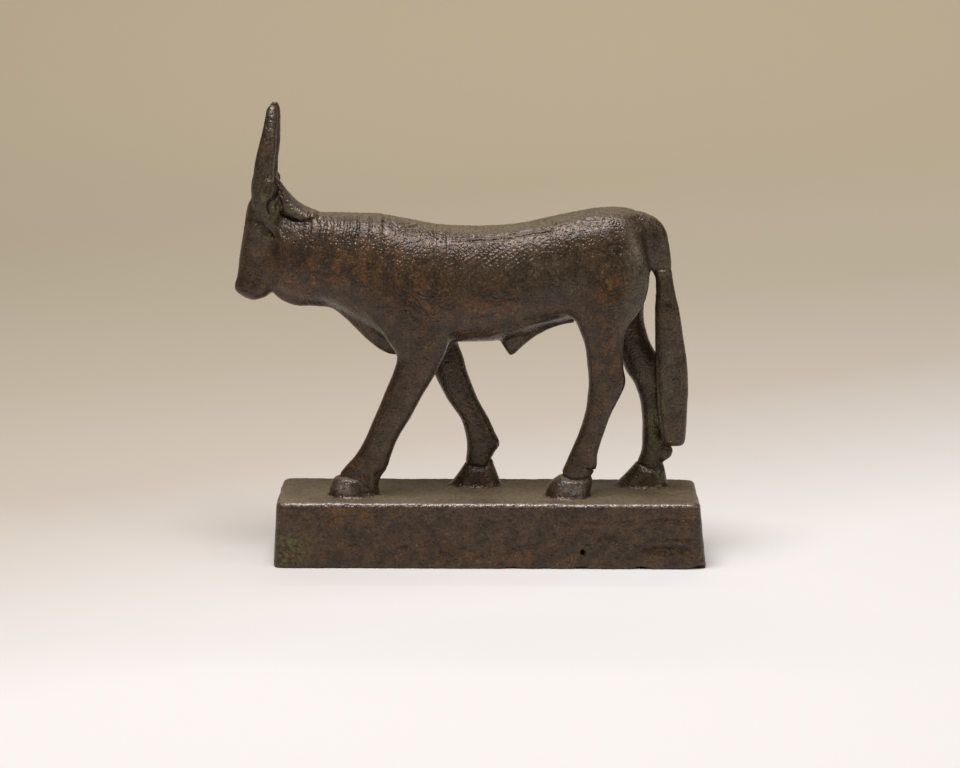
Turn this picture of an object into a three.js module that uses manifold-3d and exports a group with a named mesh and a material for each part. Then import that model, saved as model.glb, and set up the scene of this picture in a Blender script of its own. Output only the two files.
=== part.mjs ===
// A small cast bronze bull that stands on a hollow rectangular plinth, all one casting.
// Millimetres. +X runs from the head to the tail, +Y to the bull's right side, +Z up.
// The sizes below count X from the middle of the plinth, Y from the bull's mid-plane and
// Z from the plinth's underside. The finished mesh is moved along X to stand centred on its length.
import * as THREE from 'three';
import { mergeVertices } from 'three/addons/utils/BufferGeometryUtils.js';
import Module from 'manifold-3d';

const plinth = {
  bottomLength: 99.8,
  topLength: 97.4,
  bottomWidth: 27,
  topWidth: 26.4,
  height: 15.3,
  topShift: -0.4,
  cornerRadius: 2.4,
  edgeRadius: 0.9,
  wall: 2.8,
  roof: 3,
  hole: { x: 21.4, z: 3.8, width: 1.2, height: 2 },
};
const noseReach = -58.9;
const tailReach = plinth.bottomLength / 2;

// How finely each kind of form is stepped: corners round its section, steps between two stations.
const fine = { round: 22, steps: 2 };
const slim = { round: 12, steps: 2 };

// Trunk and neck, stations along X: the back's height, the underside's height, half the width,
// the squareness of the section (2 is an ellipse) and how far the widest place sits below the middle.
const trunkStations = [
  [-51.2, 78.6, 65.0, 4.2, 2.2, 0.05],
  [-48.5, 79.6, 62.6, 5.6, 2.2, 0.05],
  [-44, 80.5, 60.8, 6.6, 2.2, 0.08],
  [-38, 80.75, 60.2, 7.6, 2.2, 0.1],
  [-32, 80.65, 57.0, 8.8, 2.2, 0.1],
  [-26, 80.5, 53.0, 9.7, 2.2, 0.08],
  [-20, 79.5, 51.2, 10.2, 2.2, 0.06],
  [-13, 78.2, 50.9, 10.2, 2.2, 0.05],
  [-6, 77.7, 50.9, 10.0, 2.2, 0.05],
  [2, 77.9, 51.3, 9.8, 2.2, 0.05],
  [8, 78.6, 53.2, 9.7, 2.2, 0.05],
  [14, 79.9, 55.6, 9.7, 2.2, 0.05],
  [20, 81.2, 57.0, 9.8, 2.2, 0.03],
  [26, 82.05, 57.4, 9.6, 2.2, 0.0],
  [31, 81.9, 58.6, 8.6, 2.2, 0.0],
  [34.4, 80.6, 60.6, 6.4, 2.1, 0.0],
  [36.4, 78.0, 64.5, 3.6, 2.0, 0.0],
];

// Narrow keels under the trunk in the mid-plane, stations along X: top, bottom, half the width.
const dewlapStations = [
  [-50.6, 66, 62.4, 1.6],
  [-48.2, 67, 60.3, 2.4],
  [-45, 67, 59.1, 2.8],
  [-40, 66, 58.9, 2.6],
  [-36.5, 65, 58.4, 2.2],
  [-33, 63, 55.6, 1.9],
  [-28, 61, 50.65, 1.8],
  [-24, 59, 48.0, 1.7],
  [-20.5, 58, 47.8, 1.4],
  [-17, 56, 50.2, 1.0],
];
const sheathStations = [
  [2.3, 52.6, 50.8, 0.6],
  [3.4, 54, 49.0, 1.5],
  [4.8, 55, 47.5, 1.9],
  [8, 57, 50.1, 1.9],
  [11, 58, 52.4, 1.7],
  [15, 59, 54.3, 1.5],
  [19.4, 60, 55.2, 1.1],
];

// Legs with the shoulder or haunch above, stations up Z: front edge, back edge, and the outer and
// inner faces as distances from the mid-plane. The near side is the bull's left, at -Y.
const legStations = {
  leftFront: [
    [13.5, -36.8, -25.2, 9.0, 1.4],
    [15.6, -36.9, -25.4, 9.0, 1.3],
    [17.8, -36.8, -25.8, 8.9, 1.4],
    [19.5, -35.8, -25.4, 8.5, 1.8],
    [20.4, -34.9, -24.9, 8.0, 2.3],
    [22, -33.6, -23.8, 8.3, 2.1],
    [25, -31.0, -22.9, 8.1, 2.2],
    [29.4, -28.6, -21.1, 8.2, 2.3],
    [34, -26.7, -18.3, 8.4, 2.2],
    [39.6, -24.3, -15.3, 8.6, 2.1],
    [44, -22.5, -12.8, 8.9, 2.0],
    [48.6, -21.5, -10.5, 9.3, 2.0],
    [53, -24.6, -9.3, 9.9, 2.0],
    [58, -28.6, -9.0, 10.5, 2.2],
    [65, -29.0, -10.0, 10.7, 2.6],
    [71, -26.6, -12.5, 9.6, 3.4],
    [75.5, -23.0, -16.0, 6.7, 3.6],
  ],
  rightFront: [
    [13.5, -10.6, 3.4, 9.8, 0.6],
    [15.4, -9.8, 2.9, 9.3, 0.9],
    [17.3, -8.3, 2.1, 8.8, 1.4],
    [19.4, -6.8, 1.3, 8.4, 1.9],
    [20.8, -6.0, 0.8, 7.9, 2.4],
    [23.2, -5.5, 0.9, 8.1, 2.3],
    [25.4, -5.5, 2.2, 8.2, 2.2],
    [28, -5.9, 1.2, 8.2, 2.3],
    [31.5, -6.9, -0.4, 8.3, 2.3],
    [36, -9.9, -2.9, 8.5, 2.2],
    [42, -13.1, -5.2, 8.8, 2.0],
    [46, -14.4, -6.3, 9.1, 2.0],
    [50, -16.6, -7.6, 9.5, 2.0],
    [55, -21.4, -7.0, 10.1, 2.0],
    [61, -25.4, -7.4, 10.7, 2.3],
    [67.5, -25.6, -9.4, 10.4, 2.8],
    [72, -23.2, -12.2, 9.2, 3.4],
    [75.5, -20.2, -15.4, 6.8, 3.8],
  ],
  leftHind: [
    [13.5, 12.6, 23.1, 9.0, 1.4],
    [15.6, 12.9, 23.0, 8.9, 1.3],
    [17.6, 13.4, 23.5, 8.8, 1.5],
    [19.3, 14.9, 23.7, 8.5, 1.8],
    [20.4, 16.1, 23.6, 8.0, 2.5],
    [22.4, 17.1, 24.6, 8.1, 2.4],
    [25.3, 18.4, 24.8, 8.0, 2.6],
    [30, 20.3, 26.1, 8.1, 2.6],
    [35.3, 21.9, 28.0, 8.3, 2.4],
    [39, 22.4, 29.8, 8.4, 2.3],
    [42.2, 22.6, 31.1, 8.6, 2.2],
    [46, 22.3, 30.6, 8.8, 2.1],
    [50.6, 21.7, 30.5, 9.1, 2.0],
    [54.5, 20.4, 31.0, 9.6, 1.9],
    [58, 18.6, 33.3, 10.0, 1.9],
    [62, 17.6, 35.5, 10.3, 1.9],
    [68, 18.4, 36.1, 10.3, 2.2],
    [73.5, 20.6, 35.3, 9.3, 2.8],
    [78.2, 24.2, 32.6, 6.4, 3.4],
  ],
  rightHind: [
    [13.5, 26.8, 42.6, 9.8, 0.5],
    [15.4, 28.6, 42.0, 9.3, 0.9],
    [17.2, 30.7, 41.4, 8.8, 1.4],
    [19.4, 32.7, 41.0, 8.3, 2.0],
    [21.4, 34.4, 40.9, 8.0, 2.5],
    [22.6, 35.0, 42.4, 8.1, 2.4],
    [24.4, 35.5, 42.8, 8.0, 2.4],
    [26.6, 35.6, 41.2, 8.0, 2.5],
    [31, 35.6, 40.0, 8.1, 2.5],
    [36, 35.0, 40.3, 8.3, 2.4],
    [40, 33.6, 41.0, 8.4, 2.3],
    [43, 31.6, 41.2, 8.6, 2.2],
    [46.5, 30.1, 39.0, 8.8, 2.1],
    [50.5, 27.8, 36.9, 9.1, 2.0],
    [55, 24.6, 35.75, 9.6, 1.9],
    [60, 21.6, 35.8, 10.1, 1.9],
    [67, 19.8, 36.1, 10.3, 2.2],
    [73.5, 21.4, 35.3, 9.3, 2.8],
    [78.2, 24.8, 32.6, 6.4, 3.4],
  ],
};

// Head, stations up Z: forehead, jaw, half the width and the squareness of the section.
const headStations = [
  [60.5, -55.3, -53.6, 1.4, 2.0],
  [61.2, -57.0, -51.6, 2.6, 2.1],
  [62.5, -58.7, -50.4, 3.5, 2.2],
  [64, -58.9, -50.2, 3.8, 2.3],
  [66, -58.3, -49.7, 3.7, 2.3],
  [70, -57.75, -49.0, 4.1, 2.4],
  [74, -57.15, -48.4, 4.8, 2.4],
  [78, -56.5, -47.8, 5.5, 2.4],
  [81, -56.0, -47.6, 5.6, 2.3],
  [83.2, -55.4, -48.2, 5.0, 2.2],
  [84.8, -54.0, -49.6, 3.6, 2.1],
];

// Each horn, stations up Z: front edge, back edge, distance from the mid-plane, half the thickness across.
const hornStations = [
  [80.5, -53.6, -48.9, 3.6, 1.6],
  [84, -54.1, -49.0, 5.0, 1.9],
  [88, -54.1, -49.1, 6.2, 1.9],
  [92, -53.6, -49.1, 6.8, 1.8],
  [96, -52.7, -48.7, 6.7, 1.6],
  [100, -51.7, -48.5, 6.0, 1.45],
  [103, -51.1, -48.3, 5.1, 1.25],
  [104.8, -50.8, -48.5, 4.5, 0.95],
  [105.7, -50.1, -48.9, 4.2, 0.5],
];
const disk = { x: -51.5, z: 91.2, radius: 6.4, thickness: 2.2, rim: 0.5 };
// The cobra on the front of the disk, stations up Z: front, back, half the width.
const cobraStations = [
  [82.6, -54.5, -51.5, 0.9],
  [84.4, -54.9, -51.5, 1.2],
  [87.2, -54.9, -51.5, 1.4],
  [89.4, -54.4, -51.5, 1.1],
  [91.2, -53.5, -51.5, 0.6],
];
// The support from the horns back to the neck, stations along X: ridge height, lower edge, half the width.
const supportStations = [
  [-50.5, 90.2, 79.5, 2.2],
  [-48.3, 88.0, 79.8, 2.8],
  [-46.6, 85.7, 79.6, 3.3],
  [-44.2, 83.2, 79.2, 3.8],
  [-41.8, 81.85, 79.2, 3.9],
  [-39.6, 81.0, 79.8, 3.0],
];
// Each ear, stations from root to tip: X, height, distance from the mid-plane, half the breadth, half the thickness.
const earStations = [
  [0, -51.5, 80.4, 4.6, 1.2, 1.0],
  [1, -51.3, 82.6, 6.0, 1.6, 1.0],
  [2, -50.9, 85.0, 7.1, 1.9, 0.9],
  [3, -50.4, 87.4, 7.8, 1.5, 0.8],
  [4, -50.0, 89.1, 8.1, 0.5, 0.4],
];
const eye = { x: -52.4, y: 5.0, z: 77.5, length: 1.9, height: 1.0, depth: 0.9, socket: 1.5, slant: 0.7 };

// The tail, stations up Z: front edge, back edge, half the thickness across, place across.
const tailStations = [
  [26.3, 40.4, 44.9, 1.9, 0.6],
  [27.2, 40.0, 45.4, 2.5, 0.6],
  [32, 39.2, 45.65, 2.7, 0.6],
  [38, 38.6, 45.9, 2.7, 0.5],
  [44, 38.3, 45.65, 2.6, 0.4],
  [50, 38.1, 44.85, 2.4, 0.2],
  [58, 37.9, 43.5, 2.2, 0],
  [64, 38.05, 42.15, 2.1, 0],
  [67.6, 37.0, 41.6, 2.2, 0],
  [70, 33.5, 41.5, 2.4, 0],
  [74, 32.5, 40.85, 2.7, 0],
  [77.4, 31.5, 39.9, 2.9, 0],
  [79.6, 31, 37.9, 2.9, 0],
  [81.0, 30.5, 35.0, 2.4, 0],
];

const wasm = await Module();
wasm.setup();

// The stations with steps more put between each two: every column follows a cubic curve through its values,
// whose slope at a station is the rise between the stations before and after it.
function refine(stations, steps) {
  const last = stations.length - 1;
  const slope = (i, column) => {
    const before = stations[Math.max(i - 1, 0)];
    const after = stations[Math.min(i + 1, last)];
    return (after[column] - before[column]) / (after[0] - before[0]);
  };
  const rows = [];
  for (let i = 0; i < last; i += 1) {
    const [from, to] = [stations[i], stations[i + 1]];
    const span = to[0] - from[0];
    for (let step = 0; step < steps; step += 1) {
      const t = step / steps;
      const [t2, t3] = [t * t, t * t * t];
      rows.push(from.map((value, column) => (2 * t3 - 3 * t2 + 1) * value
        + (3 * t2 - 2 * t3) * to[column]
        + (t3 - 2 * t2 + t) * span * slope(i, column)
        + (t3 - t2) * span * slope(i + 1, column)));
    }
  }
  rows.push(stations[last]);
  return rows;
}

// One point of a unit superellipse: power 2 is a circle, and higher is squarer.
function roundSquare(angle, power) {
  const bend = (value) => Math.sign(value) * Math.abs(value) ** (2 / power);
  return [bend(Math.cos(angle)), bend(Math.sin(angle))];
}

function ring(count, pointAt) {
  return Array.from({ length: count }, (_, i) => pointAt((2 * Math.PI * (i + 0.5)) / count));
}

// A closed skin over rings of equal count, each end closed by a fan, as a solid.
function skin(rings) {
  const count = rings[0].length;
  const middle = (points) => [0, 1, 2].map((k) => points.reduce((sum, p) => sum + p[k], 0) / count);
  const positions = [...rings.flat(), middle(rings[0]), middle(rings[rings.length - 1])].flat();
  const startPole = rings.length * count;
  const faces = [];
  for (let i = 0; i < count; i += 1) {
    const next = (i + 1) % count;
    for (let r = 0; r < rings.length - 1; r += 1) {
      const [a, b] = [r * count + i, r * count + next];
      faces.push(a, b, b + count, a, b + count, a + count);
    }
    const end = (rings.length - 1) * count;
    faces.push(startPole, next, i, startPole + 1, end + i, end + next);
  }
  const geometry = new THREE.BufferGeometry();
  geometry.setAttribute('position', new THREE.Float32BufferAttribute(positions, 3));
  geometry.setIndex(faces);
  return toSolid(geometry);
}

// Six times the volume that a triangle mesh encloses: negative when its faces point inwards.
function signedVolume(positions, faces) {
  const corner = (i) => new THREE.Vector3().fromBufferAttribute(positions, faces.getX(i));
  let sum = 0;
  for (let i = 0; i < faces.count; i += 3) {
    sum += corner(i).dot(corner(i + 1).cross(corner(i + 2)));
  }
  return sum;
}

function toSolid(source) {
  const bare = source.clone();
  bare.deleteAttribute('normal');
  bare.deleteAttribute('uv');
  const merged = mergeVertices(bare, 1e-4);
  const faces = Array.from(merged.index.array);
  if (signedVolume(merged.attributes.position, merged.index) < 0) faces.reverse();
  return new wasm.Manifold(new wasm.Mesh({
    numProp: 3,
    vertProperties: new Float32Array(merged.attributes.position.array),
    triVerts: new Uint32Array(faces),
  }));
}

function toGeometry(solid) {
  const mesh = solid.getMesh();
  const geometry = new THREE.BufferGeometry();
  geometry.setAttribute('position', new THREE.BufferAttribute(new Float32Array(mesh.vertProperties), 3));
  geometry.setIndex(new THREE.BufferAttribute(new Uint32Array(mesh.triVerts), 1));
  return geometry;
}

// Sections upright across X: height from top and bottom, width from the half width.
function alongX(stations, detail, power, low) {
  return skin(refine(stations, detail.steps).map(([x, top, bottom, half, squareness, sag]) => ring(
    detail.round,
    (angle) => {
      const [across, up] = roundSquare(angle, squareness ?? power);
      const bias = 1 - (sag ?? low) * up;
      return [x, half * across * bias, (top + bottom) / 2 + ((top - bottom) / 2) * up];
    },
  )));
}

// Level sections up Z: front and back edges in X, place and half width in Y.
function upZ(stations, detail, power, widths) {
  return skin(refine(stations, detail.steps).map((row) => {
    const [z, front, back] = row;
    const { centre, half, squareness } = widths(row);
    return ring(detail.round, (angle) => {
      const [along, across] = roundSquare(angle, squareness ?? power);
      return [(front + back) / 2 + ((back - front) / 2) * along, centre + half * across, z];
    });
  }));
}

function makeLeg(stations, side) {
  return upZ(stations, slim, 2.4, ([, , , outer, inner]) => ({
    centre: (side * (outer + inner)) / 2,
    half: (outer - inner) / 2,
  }));
}

function makeHorn(side) {
  return upZ(hornStations, slim, 2.3, ([, , , away, half]) => ({ centre: side * away, half }));
}

// A leaf that rises outwards beside the horn.
function makeEar(side) {
  return skin(refine(earStations, slim.steps).map(([, x, z, away, broad, thick]) => ring(
    slim.round,
    (angle) => {
      const [along, across] = roundSquare(angle, 2);
      return [x + broad * along, side * (away + thick * across), z - 0.35 * thick * across];
    },
  )));
}

function makeDisk() {
  const { x, z, radius, thickness, rim } = disk;
  const half = thickness / 2;
  const profile = [[0, -half], [radius - rim, -half], [radius, -half + rim], [radius, half - rim],
    [radius - rim, half], [0, half]].map(([r, h]) => new THREE.Vector2(r, h));
  const geometry = new THREE.LatheGeometry(profile, 28);
  geometry.rotateZ(Math.PI / 2);
  geometry.translate(x, 0, z);
  return toSolid(geometry);
}

// An ellipsoid whose length leans down towards the back by the slant.
function ellipsoid(centre, radii, slant) {
  const geometry = new THREE.SphereGeometry(1, 12, 6);
  geometry.scale(...radii);
  geometry.rotateY(slant);
  geometry.translate(...centre);
  return toSolid(geometry);
}

// A rectangle with round corners at one height, its middle at the given X.
function roundedRectangle(length, width, radius, middle, z) {
  const cornerSteps = 3;
  const points = [];
  for (let quarter = 0; quarter < 4; quarter += 1) {
    const signX = quarter === 0 || quarter === 3 ? 1 : -1;
    const signY = quarter < 2 ? 1 : -1;
    for (let step = 0; step <= cornerSteps; step += 1) {
      const angle = (quarter + step / cornerSteps) * (Math.PI / 2);
      points.push([middle + signX * (length / 2 - radius) + radius * Math.cos(angle),
        signY * (width / 2 - radius) + radius * Math.sin(angle), z]);
    }
  }
  return points;
}

function makePlinth() {
  const { bottomLength, topLength, bottomWidth, topWidth, height } = plinth;
  const { topShift, cornerRadius, edgeRadius } = plinth;
  const layer = (z, inset) => {
    const rise = z / height;
    return roundedRectangle(
      bottomLength + (topLength - bottomLength) * rise - 2 * inset,
      bottomWidth + (topWidth - bottomWidth) * rise - 2 * inset,
      cornerRadius - inset / 2,
      topShift * rise,
      z,
    );
  };
  const block = skin([
    layer(0, 0),
    layer(height - edgeRadius, 0),
    layer(height - 0.3 * edgeRadius, 0.3 * edgeRadius),
    layer(height, edgeRadius),
  ]);
  const { wall, roof, hole } = plinth;
  const hollow = skin([layer(-1, wall), layer(height - roof, wall + 0.6)]);
  const bore = new THREE.CylinderGeometry(hole.width / 2, hole.width / 2, 3 * wall, 8);
  bore.scale(1, 1, hole.height / hole.width);
  bore.translate(hole.x, -bottomWidth / 2, hole.z);
  return block.subtract(hollow).subtract(toSolid(bore));
}

function makeHead() {
  const skull = upZ(headStations, fine, 2.3, ([, , , half, squareness]) => ({ centre: 0, half, squareness }));
  return [-1, 1].reduce((head, side) => {
    const { x, y, z, length, height, depth, socket, slant } = eye;
    const hollow = ellipsoid([x, side * (y + 0.4), z], [length * socket, depth, height * socket], slant);
    const ball = ellipsoid([x, side * (y - 0.6), z], [length, depth, height], slant);
    return head.subtract(hollow).add(ball);
  }, skull);
}

const narrow = (stations) => alongX(stations, slim, 2, 0);
const level = (stations, power, place) => upZ(stations, slim, power, place);
const parts = [
  makePlinth(),
  makeHead(),
  makeLeg(legStations.leftFront, -1),
  makeLeg(legStations.rightFront, 1),
  makeLeg(legStations.leftHind, -1),
  makeLeg(legStations.rightHind, 1),
  narrow(dewlapStations),
  narrow(sheathStations),
  makeHorn(-1),
  makeHorn(1),
  makeEar(-1),
  makeEar(1),
  makeDisk(),
  level(cobraStations, 2, ([, , , half]) => ({ centre: 0, half })),
  alongX(supportStations, slim, 2.4, 0.2),
  level(tailStations, 2.6, ([, , , half, place]) => ({ centre: place, half })),
];
const casting = parts.reduce((whole, part) => whole.add(part), alongX(trunkStations, fine, 2.2, 0));

const bronze = new THREE.MeshStandardMaterial({ color: 0x46392c, roughness: 0.5, metalness: 0.85 });
const bull = new THREE.Mesh(toGeometry(casting), bronze);
bull.name = 'bull_on_plinth';
bull.position.x = -(noseReach + tailReach) / 2;

const figurine = new THREE.Group();
figurine.add(bull);

export default figurine;
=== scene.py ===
import math

import bpy
import numpy as np
from mathutils import Matrix


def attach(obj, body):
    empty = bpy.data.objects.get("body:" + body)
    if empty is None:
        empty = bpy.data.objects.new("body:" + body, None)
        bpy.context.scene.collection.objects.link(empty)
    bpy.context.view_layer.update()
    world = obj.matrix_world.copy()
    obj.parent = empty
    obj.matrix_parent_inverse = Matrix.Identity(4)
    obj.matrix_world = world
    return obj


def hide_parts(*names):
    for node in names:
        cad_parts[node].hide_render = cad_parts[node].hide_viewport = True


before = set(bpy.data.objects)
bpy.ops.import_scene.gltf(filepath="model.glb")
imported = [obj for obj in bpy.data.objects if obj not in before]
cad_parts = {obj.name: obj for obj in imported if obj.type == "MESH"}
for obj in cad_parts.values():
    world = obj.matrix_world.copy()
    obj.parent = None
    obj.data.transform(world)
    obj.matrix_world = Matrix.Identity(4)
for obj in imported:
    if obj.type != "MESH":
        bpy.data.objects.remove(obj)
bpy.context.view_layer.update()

millimetre = 0.001
frameShift = 4.5  # from the plinth's middle to the frame's origin, along X

plinth = {
    "bottomLength": 99.8,
    "topLength": 97.4,
    "bottomWidth": 27.0,
    "topWidth": 26.4,
    "height": 15.3,
    "topShift": -0.4,  # the top leans towards the head
    "cornerRadius": 2.4,
    "edgeRadius": 0.9,
    "wall": 2.8,
    "roof": 3.0,
    "hole": {"x": 21.4, "z": 3.8, "width": 1.2, "height": 2.0},
}

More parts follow.
